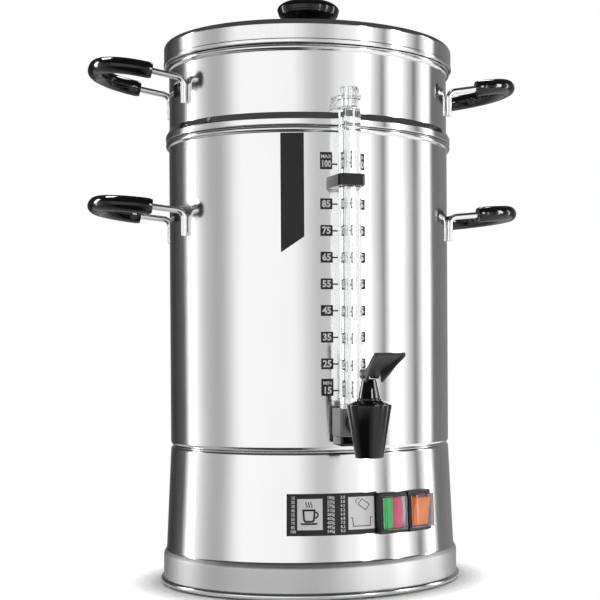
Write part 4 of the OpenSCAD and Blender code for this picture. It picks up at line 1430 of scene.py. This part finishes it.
@dataclass
class Gauge(Assembly):
    """The sight gauge: tee, tube, cap and clip, with the shank through the wall."""

    axis: Point = (0, -158.5 * MM)
    tube_radius: float = 9.75 * MM
    tube_bore: float = 7.75 * MM
    core_radius: float = 3.4 * MM
    socket_depth: float = 8 * MM
    tube_low: float = 166 * MM
    tube_top: float = 437.5 * MM
    cap_low: float = 437.8 * MM
    flange_radius: float = 10.75 * MM
    flange_height: float = 4.2 * MM
    crown_low_radius: float = 9.25 * MM
    crown_top_radius: float = 8.5 * MM
    cap_height: float = 11 * MM
    plug_radius: float = 7.45 * MM
    plug_depth: float = 6 * MM
    vent_radius: float = 1.5 * MM
    ribs: int = 16
    rib_depth: float = 0.6 * MM
    rib_width: float = 2.3 * MM
    rib_taper: float = 0.8
    rib_sink: float = 0.1 * MM
    rib_drop: float = 0.4 * MM
    rib_slope: float = 0.3 * MM
    rib_pivot: float = 1e-6
    tube_ease: float = 0.4 * MM
    cap_ease: float = 0.5 * MM

    def build(self) -> None:
        """Builds the tube, the cap and the fittings."""
        self.show(self.tube(), TUBE, "gauge_tube")
        self.show(self.cap(), COVER, "gauge_cap", body=Body.CAP)
        self.show(self.cap_ribs(), COVER, body=Body.CAP)
        self.ease(BLACK, "gauge_clip", 0.7 * MM)
        self.ease(FITTING, "tee_body", 0.8 * MM)
        self.ease(BLACK, "plug_nut", 0.9 * MM)
        self.ease(SILICONE, "gauge_seal", 0.0)
        self.ease(ZINC, "clip_screw", 0.3 * MM)
        self.ease(PLATED, "shank", 0.4 * MM)
        self.ease(PLATED, "shank_nut", 0.6 * MM)
        self.ease(RUBBER, "wall_seal", 0.0)
        self.ease(RUBBER, "shank_washer", 0.0)

    def tube(self) -> bpy.types.Object:
        """Turns the clear tube.

        Returns:
            The tube.
        """
        socket_low, socket_top = self.tube_low + self.socket_depth, self.tube_top - self.socket_depth
        outline = rounded(
            [
                (self.tube_bore, self.tube_low), (self.tube_radius, self.tube_low),
                (self.tube_radius, self.tube_top), (self.tube_bore, self.tube_top),
                (self.tube_bore, socket_top), (self.core_radius, socket_top),
                (self.core_radius, socket_low), (self.tube_bore, socket_low),
            ],
            self.tube_ease,
        )
        return lathe("gauge_glass", outline, self.axis, sides=128)

    def cap(self) -> bpy.types.Object:
        """Turns the cap's plug, flange and crown.

        Returns:
            The cap.
        """
        low, top = self.cap_low, self.cap_low + self.cap_height
        flange = low + self.flange_height
        outline = rounded(
            [
                (self.vent_radius, low - self.plug_depth), (self.plug_radius, low - self.plug_depth),
                (self.plug_radius, low), (self.flange_radius, low), (self.flange_radius, flange),
                (self.crown_low_radius - self.rib_depth, flange),
                (self.crown_top_radius - self.rib_depth, top), (self.vent_radius, top),
            ],
            self.cap_ease,
        )
        return lathe("cap_turned", outline, self.axis, sides=96)

    def cap_ribs(self) -> bpy.types.Object:
        """Spreads the crown's ribs.

        Returns:
            The ribs.
        """
        low = self.cap_low + self.flange_height - self.rib_sink
        top = self.cap_low + self.cap_height - self.rib_drop
        inner = self.crown_top_radius - 2 * self.rib_depth
        half = self.rib_width / 2
        crest = half * self.rib_taper
        levels = (
            (low, self.crown_low_radius), (top, self.crown_top_radius),
            (top + self.rib_slope, inner + half / 2),
        )
        mesh = bmesh.new()
        rows = []
        for level, outer in levels:
            section = ((-half, inner), (-crest, outer), (crest, outer), (half, inner))
            rows.append([mesh.verts.new((across, -out, level)) for across, out in section])
        for lower, upper in zip(rows, rows[1:]):
            for i in range(4):
                mesh.faces.new((lower[i], lower[(i + 1) % 4], upper[(i + 1) % 4], upper[i]))
        mesh.faces.new(rows[0])
        mesh.faces.new(rows[-1])
        bmesh.ops.recalc_face_normals(mesh, faces=mesh.faces)
        rib = new_object("rib", mesh)
        places = on_circle(self.rib_pivot, 0, self.ribs, 180 / self.ribs)
        return spread_copies("cap_ribs", rib, places, COVER, (*self.axis, 0))


@dataclass
class Tap(Assembly):
    """The lever tap: spout, bonnet, stem, spring and lever."""

    axis: Point = (0, -218 * MM)
    pipe_level: float = 158 * MM
    pipe_radius: float = 9 * MM
    flow_radius: float = 5 * MM
    pipe_start: float = -203.5 * MM
    pipe_end: float = -169 * MM
    spout_low: float = 131 * MM
    spout_top: float = 175.5 * MM
    spout_low_radius: float = 11.8 * MM
    spout_top_radius: float = 19 * MM
    mouth_radius: float = 9.3 * MM
    seat_radius: float = 6.5 * MM
    seat_low: float = 148 * MM
    chamber_low: float = 152 * MM
    chamber_radius: float = 14 * MM
    spout_ease: float = 1.2 * MM
    # Radius and height over the spout: spigot, skirt, collar and the foot of the cone.
    bonnet_steps: tuple[Point, ...] = (
        (13.9 * MM, -4 * MM), (13.9 * MM, 0.1 * MM), (17.5 * MM, 0.1 * MM), (11.25 * MM, 3.1 * MM),
        (10.25 * MM, 3.1 * MM), (10.25 * MM, 5 * MM), (9.2 * MM, 5 * MM),
    )
    bonnet_neck: float = 5.9 * MM
    bonnet_top: float = 196.5 * MM
    bonnet_ease: float = 0.6 * MM
    stem_bore: float = 3.05 * MM

    def build(self) -> None:
        """Builds the fixed and the moving pieces."""
        self.show(self.spout(), BLACK, "tap_body")
        self.show(self.pipe(), BLACK)
        self.show(self.bonnet(), BLACK, "tap_bonnet")
        self.dress(PLATED, "tap_spring")
        self.ease(PLATED, "tap_stem", 0.0, Body.STEM)
        self.ease(SILICONE, "seat_cup", 0.3 * MM, Body.STEM)
        self.ease(LEVER, "tap_lever", 0.35 * MM, Body.LEVER)
        self.ease(PLATED, "lever_pin", 0.2 * MM, Body.LEVER)

    def spout(self) -> bpy.types.Object:
        """Turns the conical spout with its chamber.

        Returns:
            The spout.
        """
        outline = rounded(
            [
                (self.mouth_radius, self.spout_low), (self.spout_low_radius, self.spout_low),
                (self.spout_top_radius, self.spout_top), (self.chamber_radius, self.spout_top),
                (self.chamber_radius, self.chamber_low), (self.seat_radius, self.chamber_low),
                (self.seat_radius, self.seat_low), (self.mouth_radius, self.seat_low),
            ],
            self.spout_ease,
        )
        return lathe("spout_turned", outline, self.axis, sides=128)

    def pipe(self) -> bpy.types.Object:
        """Turns the pipe between the spout and the tee.

        Returns:
            The pipe.
        """
        outline = [
            (self.flow_radius, self.pipe_start), (self.pipe_radius, self.pipe_start),
            (self.pipe_radius, self.pipe_end), (self.flow_radius, self.pipe_end),
        ]
        pipe = lathe("spout_pipe", outline, sides=64)
        lay = Matrix.Translation((0, 0, self.pipe_level)) @ Matrix.Rotation(math.radians(-90), 4, "X")
        pipe.data.transform(lay)
        return pipe

    def bonnet(self) -> bpy.types.Object:
        """Turns the bonnet: spigot, collars, cone and neck.

        Returns:
            The bonnet.
        """
        steps = [(radius, self.spout_top + rise) for radius, rise in self.bonnet_steps]
        low = (self.stem_bore, steps[0][1])
        ends = [(self.bonnet_neck, self.bonnet_top), (self.stem_bore, self.bonnet_top)]
        outline = rounded([low, *steps, *ends], self.bonnet_ease)
        return lathe("bonnet_turned", outline, self.axis, sides=96)


@dataclass
class Panel(Assembly):
    """The lamps and the switch on the base."""

    def build(self) -> None:
        """Builds bezels, lenses, rocker and clear covers."""
        for bezel in ("lamp_bezel", "switch_bezel"):
            self.ease(SATIN, bezel, 1.1 * MM)
        self.ease(GREEN, "lamp_green", 0.5 * MM)
        self.ease(RED, "lamp_red", 0.5 * MM)
        self.ease(ORANGE, "switch_rocker", 0.6 * MM, Body.ROCKER)
        self.ease(COVER, "lamp_cover", 0.25 * MM)
        self.ease(COVER, "switch_cover", 0.25 * MM)
        self.ease(SATIN, "switch_case", 0.3 * MM)


@dataclass
class Scale(Assembly):
    """The cup scale printed on both sides of the gauge, and a dark strip of painted reflection on the
    steel beside it.
    """

    wall: Wall
    top_level: float = 385 * MM
    cup_rise: float = 2.355 * MM
    box_inner: float = 9.7 * MM
    box_outer: float = 20.5 * MM
    box_above: float = 5 * MM
    box_below: float = 4.6 * MM
    word_room: float = 5.6 * MM
    tick_inner: float = 5 * MM
    tick_height: float = 1.3 * MM
    digit_height: float = 5.8 * MM
    digit_weight: float = 0.035
    word_height: float = 3.2 * MM
    squeeze: float = 0.95
    long_squeeze: float = 0.72
    ink: float = 0.1 * MM
    # Sides, top and slanted low end of a dark strip of painted reflection on the steel beside the
    # scale.
    strip_left: float = -55.4 * MM
    strip_right: float = -34.6 * MM
    strip_top: float = 412.5 * MM
    strip_low: Point = (307 * MM, 321 * MM)

    def build(self) -> None:
        """Prints the boxes, ticks and numbers, and lays the dark strip of painted reflection in the
        same black ink.
        """
        boxes = Print(-self.ink, self.ink)
        words = Print(0, 2 * self.ink)
        for cups in reversed(CUPS):
            self.mark(boxes, words, cups)
        # A dark strip of painted reflection, laid in the boxes' black ink.
        boxes.shape([
            (self.strip_left, self.strip_low[0]), (self.strip_right, self.strip_low[1]),
            (self.strip_right, self.strip_top), (self.strip_left, self.strip_top),
        ])
        self.show(boxes.wrapped("scale_boxes", self.wall), INK_AND_PAINTED_REFLECTION)
        self.show(words.wrapped("scale_numbers", self.wall), PAPER)
        self.show(self.ticks(), INK_AND_PAINTED_REFLECTION)

    def level(self, cups: int) -> float:
        """Gives the height of a mark."""
        return self.top_level - (CUPS[-1] - cups) * self.cup_rise

    def mark(self, boxes: Print, words: Print, cups: int) -> None:
        """Prints one mark's boxes and numbers.

        Args:
            boxes: Layer of the boxes.
            words: Layer of the numbers.
            cups: Number of cups.
        """
        level = self.level(cups)
        word = {CUPS[-1]: "MAX", CUPS[0]: "MIN"}.get(cups)
        squeeze = self.long_squeeze if cups > 99 else self.squeeze
        high = level + self.box_above + (self.word_room if word else 0)
        for side in Side:
            left, right = sorted((side.value * self.box_inner, side.value * self.box_outer))
            middle = (left + right) / 2
            boxes.bar(left, right, level - self.box_below, high)
            words.text(str(cups), (middle, level), self.digit_height, self.digit_weight, squeeze)
            if word:
                place = (middle, level + self.box_above + self.word_height / 2)
                words.text(word, place, self.word_height, squeeze=self.squeeze)

    def ticks(self) -> bpy.types.Object:
        """Spreads the ticks between the boxes.

        Returns:
            The ticks.
        """
        tick = Print(-self.ink, self.ink)
        half = (self.box_inner - self.tick_inner) / 2
        tick.bar(-half, half, -self.tick_height / 2, self.tick_height / 2)
        item = tick.wrapped("tick", self.wall)
        item.data.transform(Matrix.Translation((0, self.wall.radius, 0)))
        middle = (self.box_inner + self.tick_inner) / 2
        places = [
            self.wall.at(side.value * middle, self.level(cups), 0)
            for side in Side
            for cups in reversed(CUPS)
        ]
        return spread_copies("scale_ticks", item, places, INK_AND_PAINTED_REFLECTION)


@dataclass
class Label(Assembly):
    """The printed filling table on the base, with a cup and a scoop over a tray."""

    wall: Wall
    left: float = -53.1 * MM
    right: float = 30.5 * MM
    low: float = 57 * MM
    high: float = 94 * MM
    ink: float = 0.08 * MM
    # Left, right, low and high end of the panels, then the places, as shares of the label.
    cup_panel: tuple[float, ...] = (0.115, 0.385, 0.14, 0.88)
    scoop_panel: tuple[float, ...] = (0.665, 0.965, 0.12, 0.9)
    columns: tuple[float, ...] = (0.07, 0.475, 0.605)
    first_row: float = 0.9
    row_pitch: float = 0.1
    first_grams: int = 180
    row_grams: int = 45
    spoon_grams: int = 60
    digit_height: float = 2.6 * MM
    digit_weight: float = 0.012
    squeeze: float = 0.95
    cup_foot: Point = (0.24, 0.34)
    tray_foot: Point = (0.815, 0.2)

    def across(self, share: float) -> float:
        """Gives the place along the wall at a share of the label's width."""
        return self.left + (self.right - self.left) * share

    def up(self, share: float) -> float:
        """Gives the height at a share of the label's height."""
        return self.low + (self.high - self.low) * share

    def panel(self, shares: Sequence[float]) -> Print:
        """Starts a pale layer with a plain panel.

        Args:
            shares: Left, right, low and high end of the panel as shares of the label.

        Returns:
            The layer.
        """
        layer = Print(0, 2 * self.ink)
        left, right, low, high = shares
        layer.bar(self.across(left), self.across(right), self.up(low), self.up(high))
        return layer

    def drawn(self, foot: Point, outline: Iterable[Point]) -> list[Point]:
        """Puts a drawing on the label.

        Args:
            foot: Place of the drawing's origin, as shares of the label.
            outline: Points of the drawing in millimetres.

        Returns:
            The points on the wall.
        """
        x, y = self.across(foot[0]), self.up(foot[1])
        return [(x + a * MM, y + b * MM) for a, b in outline]

    def build(self) -> None:
        """Prints the ground, the two panels, the table and the pictures."""
        ground = Print(-self.ink, self.ink)
        ground.bar(self.left, self.right, self.low, self.high)
        self.show(ground.wrapped("label_ground", self.wall), INK_AND_PAINTED_REFLECTION)
        self.show(self.panel(self.cup_panel).wrapped("label_cup_panel", self.wall), GREY_INK)
        white = self.panel(self.scoop_panel)
        self.table(white)
        self.show(white.wrapped("label_white", self.wall), PAPER)
        dark = Print(self.ink, 3 * self.ink)
        self.cup(dark)
        self.scoop(dark)
        self.show(dark.wrapped("label_pictures", self.wall), INK_AND_PAINTED_REFLECTION)

    def table(self, layer: Print) -> None:
        """Prints the rows of numbers.

        Args:
            layer: Layer to print on.
        """
        for row, cups in enumerate(CUPS):
            height = self.up(self.first_row - self.row_pitch * row)
            grams = self.first_grams + self.row_grams * row
            cells = (str(cups), f"{grams}g", f"{grams / self.spoon_grams:.1f}")
            for share, words in zip(self.columns, cells):
                place = (self.across(share), height)
                layer.text(words, place, self.digit_height, self.digit_weight, self.squeeze)

    def cup(self, layer: Print) -> None:
        """Draws a steaming cup on a saucer.

        Args:
            layer: Layer to draw on.
        """
        bowl = [(-5, 10), (-4.4, 1.6), (-3.2, 0), (3.2, 0), (4.4, 1.6), (5, 10)]
        ear = arc((5.4, 5.8), 2.6, 80, -100)
        saucer = [(-8.2, -1.2), (-6.6, -2.8), (6.6, -2.8), (8.2, -1.2)]
        layer.ribbon(self.drawn(self.cup_foot, [*bowl, *bowl[:2]]), 1.7 * MM)
        layer.ribbon(self.drawn(self.cup_foot, ear), 1.4 * MM)
        layer.shape(self.drawn(self.cup_foot, saucer))
        rises = [0.8 * i for i in range(7)]
        for shift in (-2.2, 0, 2.2):
            steam = [(shift + 0.6 * math.sin(1.25 * rise), 12.4 + rise) for rise in rises]
            layer.ribbon(self.drawn(self.cup_foot, steam), 0.8 * MM)

    def scoop(self, layer: Print) -> None:
        """Draws a scoop tipped over a tray.

        Args:
            layer: Layer to draw on.
        """
        tray = [(-10.4, 7.4), (-8.6, 7.4), (-8, 0), (8, 0), (8.6, 7.4), (10.4, 7.4)]
        box = [(-4.4, -3), (4.4, -3), (4.4, 3), (-4.4, 3), (-4.4, -3), (4.4, -3)]
        tilt = math.radians(-36)
        sine, cosine = math.sin(tilt), math.cos(tilt)
        tipped = [(2.2 + a * cosine - b * sine, 19 + a * sine + b * cosine) for a, b in box]
        grip = arc((-3, 22), 2.4, 60, 230, 8)
        for path, width in ((tray, 0.7 * MM), (tipped, 0.6 * MM), (grip, 0.5 * MM)):
            layer.ribbon(self.drawn(self.tray_foot, path), width)


@dataclass
class Studio:
    """Camera, pale surroundings, floor and lamps."""

    place: tuple[float, float, float] = (-0.3102, -1.3610, 0.2205)
    pan: float = 18.04
    pitch: float = -0.37
    roll: float = -0.31
    lens: float = 85.48
    shift: Point = (-0.2333, 0.0982)
    floor_radius: float = 0.7
    floor_fade: Point = (0.172, 0.145)
    floor_shade: float = 0.9
    # Angle in degrees, 0 towards the camera, and light of the ring at that angle.
    ring: tuple[Point, ...] = (
        (-180, 0.28), (-160, 0.08), (-146, 0.04), (-123, 0.1), (-117, 0.85), (-111, 1.1), (-103, 0.95),
        (-95, 0.65), (-88, 0.5), (-81, 0.45), (-75, 0.47), (-68, 0.69), (-62, 0.95), (-57, 1.07),
        (-12, 1.05), (0, 0.72), (6, 0.6), (14, 0.6), (24, 0.9), (40, 1.05), (50, 1.05), (60, 0.45),
        (62.5, 0.1), (65, 0.75), (70, 1.1), (82, 1.05), (92, 0.5), (96, 0.15), (104, 0.9), (117, 1.05),
        (121, 0.15), (180, 0.28),
    )
    # Middle and width in degrees and light of each tall strip, then the profile of one.
    strips: tuple[tuple[float, float, float], ...] = (
        (-111, 3, 6), (45, 4, 5), (75, 4, 7), (111, 3, 5),
    )
    strip_edges: tuple[Point, ...] = ((-0.7, 0), (-0.5, 1), (0.5, 1), (0.7, 0))
    # Sines of the elevation at which an edge begins and is done.
    strip_top: Point = (0.5, 0.42)
    strip_low: Point = (-0.22, -0.14)
    # Angle and light of the ground, as for the ring.
    ground: tuple[Point, ...] = (
        (-180, 0.6), (-90, 0.4), (-66, 0.05), (-10, 0.04), (16, 0.6), (30, 1.0), (128, 1.0), (180, 0.6),
    )
    ground_edge: Point = (-0.2, -0.3)
    ceiling: float = 0.06
    ceiling_edge: Point = (0.3, 0.4)
    overhead_level: float = 1.8
    overhead_size: Point = (1.6, 1.6)
    overhead_power: float = 24
    spark_aim: tuple[float, float, float] = (0, -0.1, 0.3)
    unsparked: tuple[str, ...] = ("gauge_clip", "plug_nut", "knob_turned")
    # Name, place, size and power of the lamps that light only the glossy black pieces.
    sparks: tuple[tuple[str, tuple[float, float, float], Point, float], ...] = (
        ("spark_front", (0.385, -1.24, 0.74), (0.22, 0.5), 5.5),
        ("spark_right", (1.215, -0.46, 0.7), (0.22, 0.6), 6.5),
        ("spark_left", (-1.117, 0.6, 0.7), (0.22, 0.6), 6.5),
        ("spark_back", (0.45, 0.6, 1.5), (0.4, 0.25), 5.0),
        ("spark_far", (-0.6, 0.5, 1.3), (0.4, 0.25), 5.0),
    )

    def build(self) -> None:
        """Sets up the camera, the surroundings, the floor and the lamps."""
        bpy.context.scene.view_settings.view_transform = "Standard"
        self.camera()
        self.surroundings()
        self.floor()
        above = (0, 0, self.overhead_level)
        overhead = self.lamp("overhead", above, (0, 0, 0), self.overhead_size, self.overhead_power)
        overhead.visible_glossy = False
        gloss = self.glossy()
        for name, place, size, power in self.sparks:
            spark = self.lamp(name, place, self.spark_aim, size, power)
            spark.light_linking.receiver_collection = gloss

    def glossy(self) -> bpy.types.Collection:
        """Gathers the glossy black pieces that the small lamps light.

        Returns:
            The collection.
        """
        gloss = bpy.data.collections.new("gloss")
        for obj in bpy.data.objects:
            if obj.type != "MESH" or obj.name.startswith(self.unsparked):
                continue
            if BLACK.material() in list(obj.data.materials):
                gloss.objects.link(obj)
        return gloss

    def camera(self) -> None:
        """Puts the camera where the picture was taken from."""
        pan, pitch, roll = (math.radians(a) for a in (self.pan, self.pitch, self.roll))
        level = Vector((math.sin(pan), math.cos(pan), 0))
        ahead = level * math.cos(pitch) + Vector((0, 0, math.sin(pitch)))
        right = Vector((math.cos(pan), -math.sin(pan), 0))
        up = Vector((0, 0, math.cos(pitch))) - level * math.sin(pitch)
        across = right * math.cos(roll) + up * math.sin(roll)
        upward = up * math.cos(roll) - right * math.sin(roll)
        data = bpy.data.cameras.new("camera")
        data.lens = self.lens
        data.shift_x, data.shift_y = self.shift
        camera = bpy.data.objects.new("camera", data)
        bpy.context.collection.objects.link(camera)
        turn = Matrix((across, upward, -ahead)).transposed()
        camera.matrix_world = Matrix.LocRotScale(Vector(self.place), turn.to_quaternion(), None)
        bpy.context.scene.camera = camera

    def surroundings(self) -> None:
        """Surrounds the urn with a ring of bright and dark panels on a white background."""
        world = bpy.data.worlds.new("studio")
        world.use_nodes = True
        bpy.context.scene.world = world
        graph = Graph(world.node_tree)
        world.node_tree.nodes.clear()
        studio = graph.add("ShaderNodeBackground", {"Color": self.panels(graph)}).outputs[0]
        white = graph.add("ShaderNodeBackground", {"Color": (1, 1, 1, 1)}).outputs[0]
        rays = graph.add("ShaderNodeLightPath").outputs
        seen = graph.math("MAXIMUM", rays["Is Camera Ray"], rays["Is Transmission Ray"])
        mixed = graph.add("ShaderNodeMixShader", {0: seen, 1: studio, 2: white}).outputs[0]
        graph.add("ShaderNodeOutputWorld", {"Surface": mixed})

    def panels(self, graph: Graph) -> bpy.types.NodeSocket:
        """Lights the ring, the tall strips, the ceiling and the ground around the urn.

        Args:
            graph: Helper for the world's tree.

        Returns:
            The light's socket.
        """
        direction = graph.add("ShaderNodeTexCoord").outputs["Generated"]
        turned = graph.add(
            "ShaderNodeVectorRotate",
            {"Vector": direction, "Angle": -math.atan2(self.place[1], self.place[0])},
            rotation_type="Z_AXIS",
        ).outputs[0]
        axes = graph.add("ShaderNodeSeparateXYZ", {0: turned}).outputs
        angle = graph.math("ARCTAN2", axes["Y"], axes["X"])
        share = graph.math("ADD", graph.math("DIVIDE", angle, 2 * math.pi), 0.5)
        lit = [
            (middle + edge * width, level * on)
            for middle, width, level in self.strips
            for edge, on in self.strip_edges
        ]
        around, shine, table = (self.ramp(graph, share, s) for s in (self.ring, lit, self.ground))
        dark = (self.ceiling, self.ceiling, self.ceiling, 1)
        edges = (self.ceiling_edge, self.strip_top, self.strip_low, self.ground_edge)
        high, under_top, over_low, low = (self.step(graph, axes["Z"], *edge) for edge in edges)
        tall = graph.math("MINIMUM", under_top, over_low)
        wall = self.mix(graph, high, around, dark)
        lamps = self.mix(graph, tall, wall, shine, "ADD")
        return self.mix(graph, low, lamps, table)

    def mix(
        self, graph: Graph, share: bpy.types.NodeSocket, first: object, second: object, way: str = "MIX"
    ) -> bpy.types.NodeSocket:
        """Mixes two colours.

        Args:
            graph: Helper for the node tree.
            share: Socket of the second colour's share.
            first: First colour or its socket.
            second: Second colour or its socket.
            way: How the second is laid over the first.

        Returns:
            The colour's socket.
        """
        inputs = {"Fac": share, "Color1": first, "Color2": second}
        return graph.add("ShaderNodeMixRGB", inputs, blend_type=way).outputs["Color"]

    def ramp(
        self, graph: Graph, share: bpy.types.NodeSocket, levels: Sequence[Point]
    ) -> bpy.types.NodeSocket:
        """Grades light around the urn.

        Args:
            graph: Helper for the world's tree.
            share: Socket of the angle, from 0 at -180 degrees to 1 at 180.
            levels: Angles in degrees, rising, each with its light.

        Returns:
            The light's socket.
        """
        ramp = graph.add("ShaderNodeValToRGB", {"Fac": share})
        stops = ramp.color_ramp.elements
        for i, (degrees, light) in enumerate(levels):
            position = degrees / 360 + 0.5
            stop = stops[i] if i < 2 else stops.new(position)
            stop.position = position
            stop.color = (light, light, light, 1)
        return ramp.outputs["Color"]

    def step(
        self, graph: Graph, value: bpy.types.NodeSocket, start: float, end: float
    ) -> bpy.types.NodeSocket:
        """Rises from 0 to 1 as a value goes from start to end.

        Args:
            graph: Helper for the node tree.
            value: Socket of the value.
            start: Where the step begins.
            end: Where it is done.

        Returns:
            The step's socket.
        """
        inputs = {"Value": value, "From Min": start, "From Max": end}
        return graph.add("ShaderNodeMapRange", inputs).outputs[0]

    def floor(self) -> None:
        """Lays a pale floor that fades into the background."""
        mesh = bmesh.new()
        bmesh.ops.create_circle(mesh, cap_ends=True, segments=96, radius=self.floor_radius)
        floor = new_object("floor", mesh)
        material = bpy.data.materials.new("floor_pale")
        material.use_nodes = True
        graph = Graph(material.node_tree)
        material.node_tree.nodes.clear()
        place = graph.add("ShaderNodeTexCoord").outputs["Object"]
        reach = graph.add("ShaderNodeVectorMath", {0: place}, operation="LENGTH").outputs["Value"]
        fade = self.step(graph, reach, *self.floor_fade)
        shade = (self.floor_shade, self.floor_shade, self.floor_shade, 1)
        pale = graph.add("ShaderNodeBsdfDiffuse", {"Color": shade}).outputs[0]
        none = graph.add("ShaderNodeBsdfTransparent").outputs[0]
        mixed = graph.add("ShaderNodeMixShader", {0: fade, 1: none, 2: pale}).outputs[0]
        graph.add("ShaderNodeOutputMaterial", {"Surface": mixed})
        floor.data.materials.append(material)

    def lamp(
        self, name: str, place: Sequence[float], aim: Sequence[float], size: Point, power: float
    ) -> bpy.types.Object:
        """Hangs a soft lamp.

        Args:
            name: Name of the lamp.
            place: Its place.
            aim: The point that it faces.
            size: Its width and height.
            power: Its power in watts.

        Returns:
            The lamp.
        """
        data = bpy.data.lights.new(name, "AREA")
        data.shape = "RECTANGLE"
        data.size, data.size_y = size
        data.energy = power
        lamp = bpy.data.objects.new(name, data)
        bpy.context.collection.objects.link(lamp)
        lamp.location = place
        lamp.rotation_euler = (Vector(aim) - Vector(place)).to_track_quat("-Z", "Y").to_euler()
        return lamp


def main() -> None:
    """Builds the urn's pieces in order, then the studio."""
    logging.basicConfig(level=logging.INFO, format="%(name)s: %(message)s")
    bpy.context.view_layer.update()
    base, vessel = Base(), Vessel()
    handles = [
        Handle(node, side, foot, tilt, body)
        for side in Side
        for node, foot, tilt, body in (
            ("vessel", (128.316 * MM, 349 * MM), 6, Body.URN),
            ("pot", (127.889 * MM, 470.3 * MM), 10, Body.POT),
        )
    ]
    parts = [base, vessel, FilterPot(), Lid(), *handles, Gauge(), Tap(), Panel()]
    parts += [Scale(vessel.wall()), Label(base.wall()), Studio()]
    for part in parts:
        log.info("building %s", type(part).__name__)
        part.build()


if __name__ == "__main__":
    main()
